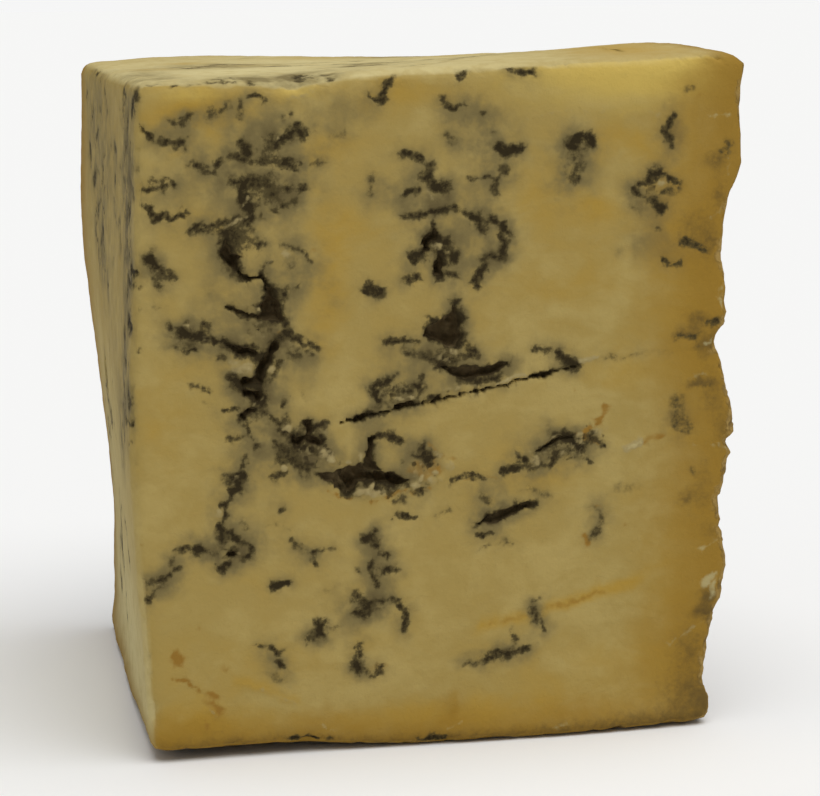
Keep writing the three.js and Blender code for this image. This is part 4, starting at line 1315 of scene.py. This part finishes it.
def setStudio():
    block = bmesh.new()
    bmesh.ops.create_grid(block, x_segments=1, y_segments=1, size=studio["floorSize"] / 2)
    mesh = bpy.data.meshes.new("floor")
    block.to_mesh(mesh)
    block.free()
    floor = bpy.data.objects.new("floor", mesh)
    bpy.context.scene.collection.objects.link(floor)
    paint = bpy.data.materials.new("floor")
    paint.use_nodes = True
    shader = paint.node_tree.nodes["Principled BSDF"]
    shader.inputs["Base Color"].default_value = studio["floorTone"]
    shader.inputs["Roughness"].default_value = 1.0
    shader.inputs["Specular IOR Level"].default_value = 0.0
    mesh.materials.append(paint)

    lamp = bpy.data.lights.new("softSun", "SUN")
    lamp.energy = studio["sunStrength"]
    lamp.angle = math.radians(studio["sunSize"])
    sun = bpy.data.objects.new("softSun", lamp)
    lean, swing = (math.radians(a) for a in studio["sunTilt"])
    sun.rotation_euler = (Matrix.Rotation(swing, 3, "Z") @ Matrix.Rotation(lean, 3, "X")).to_euler()
    bpy.context.scene.collection.objects.link(sun)

    # the sky lights the wedge, and the camera sees a backdrop as pale as the floor
    world = bpy.data.worlds.new("studio")
    world.use_nodes = True
    tree = world.node_tree
    bench = NodeBench(tree)
    sky = tree.nodes["Background"]
    sky.inputs["Color"].default_value = (1.0, 1.0, 1.0, 1.0)
    sky.inputs["Strength"].default_value = studio["skyStrength"]
    backdrop = bench.put("ShaderNodeBackground")
    backdrop.inputs["Color"].default_value = studio["backdrop"]
    seen = bench.put("ShaderNodeLightPath").outputs["Is Camera Ray"]
    sources = {0: seen, 1: sky.outputs[0], 2: backdrop.outputs[0]}
    choice = bench.fill(bench.put("ShaderNodeMixShader"), 0, sources)
    bench.join(choice, tree.nodes["World Output"].inputs["Surface"])
    bpy.context.scene.world = world
    bpy.context.scene.view_settings.view_transform = "Standard"


view = {
    "spot": (-89.714, -449.732, 124.85),  # mm, in the part's own frame
    "yaw": 11.92,  # degrees
    "pitch": 9.09,
    "roll": 0.62,
    "lens": 110.0,  # mm
    "sensor": 36.0,
}


def setCamera():
    lens = bpy.data.cameras.new("camera")
    lens.sensor_fit = "HORIZONTAL"
    lens.sensor_width = view["sensor"]
    lens.lens = view["lens"]
    lens.clip_end = 2 * studio["floorSize"]
    camera = bpy.data.objects.new("camera", lens)
    bpy.context.scene.collection.objects.link(camera)
    turn = (
        Matrix.Rotation(math.radians(-view["yaw"]), 4, "Z")
        @ Matrix.Rotation(math.radians(90 - view["pitch"]), 4, "X")
        @ Matrix.Rotation(math.radians(-view["roll"]), 4, "Z")
    )
    camera.matrix_world = Matrix.Translation(Vector(view["spot"]) * mm) @ turn
    bpy.context.scene.camera = camera


setCamera()
setStudio()
cheese = evenWedge()
print("wedge remeshed")
cuts = layOutCuts()
refineCuts(cheese, cuts)
shapeAndPaint(cheese, cuts)
cheese.data.materials.clear()
cheese.data.materials.append(cheeseMaterial())
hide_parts("wedge")
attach(cheese, "root")
print("cheese finished")
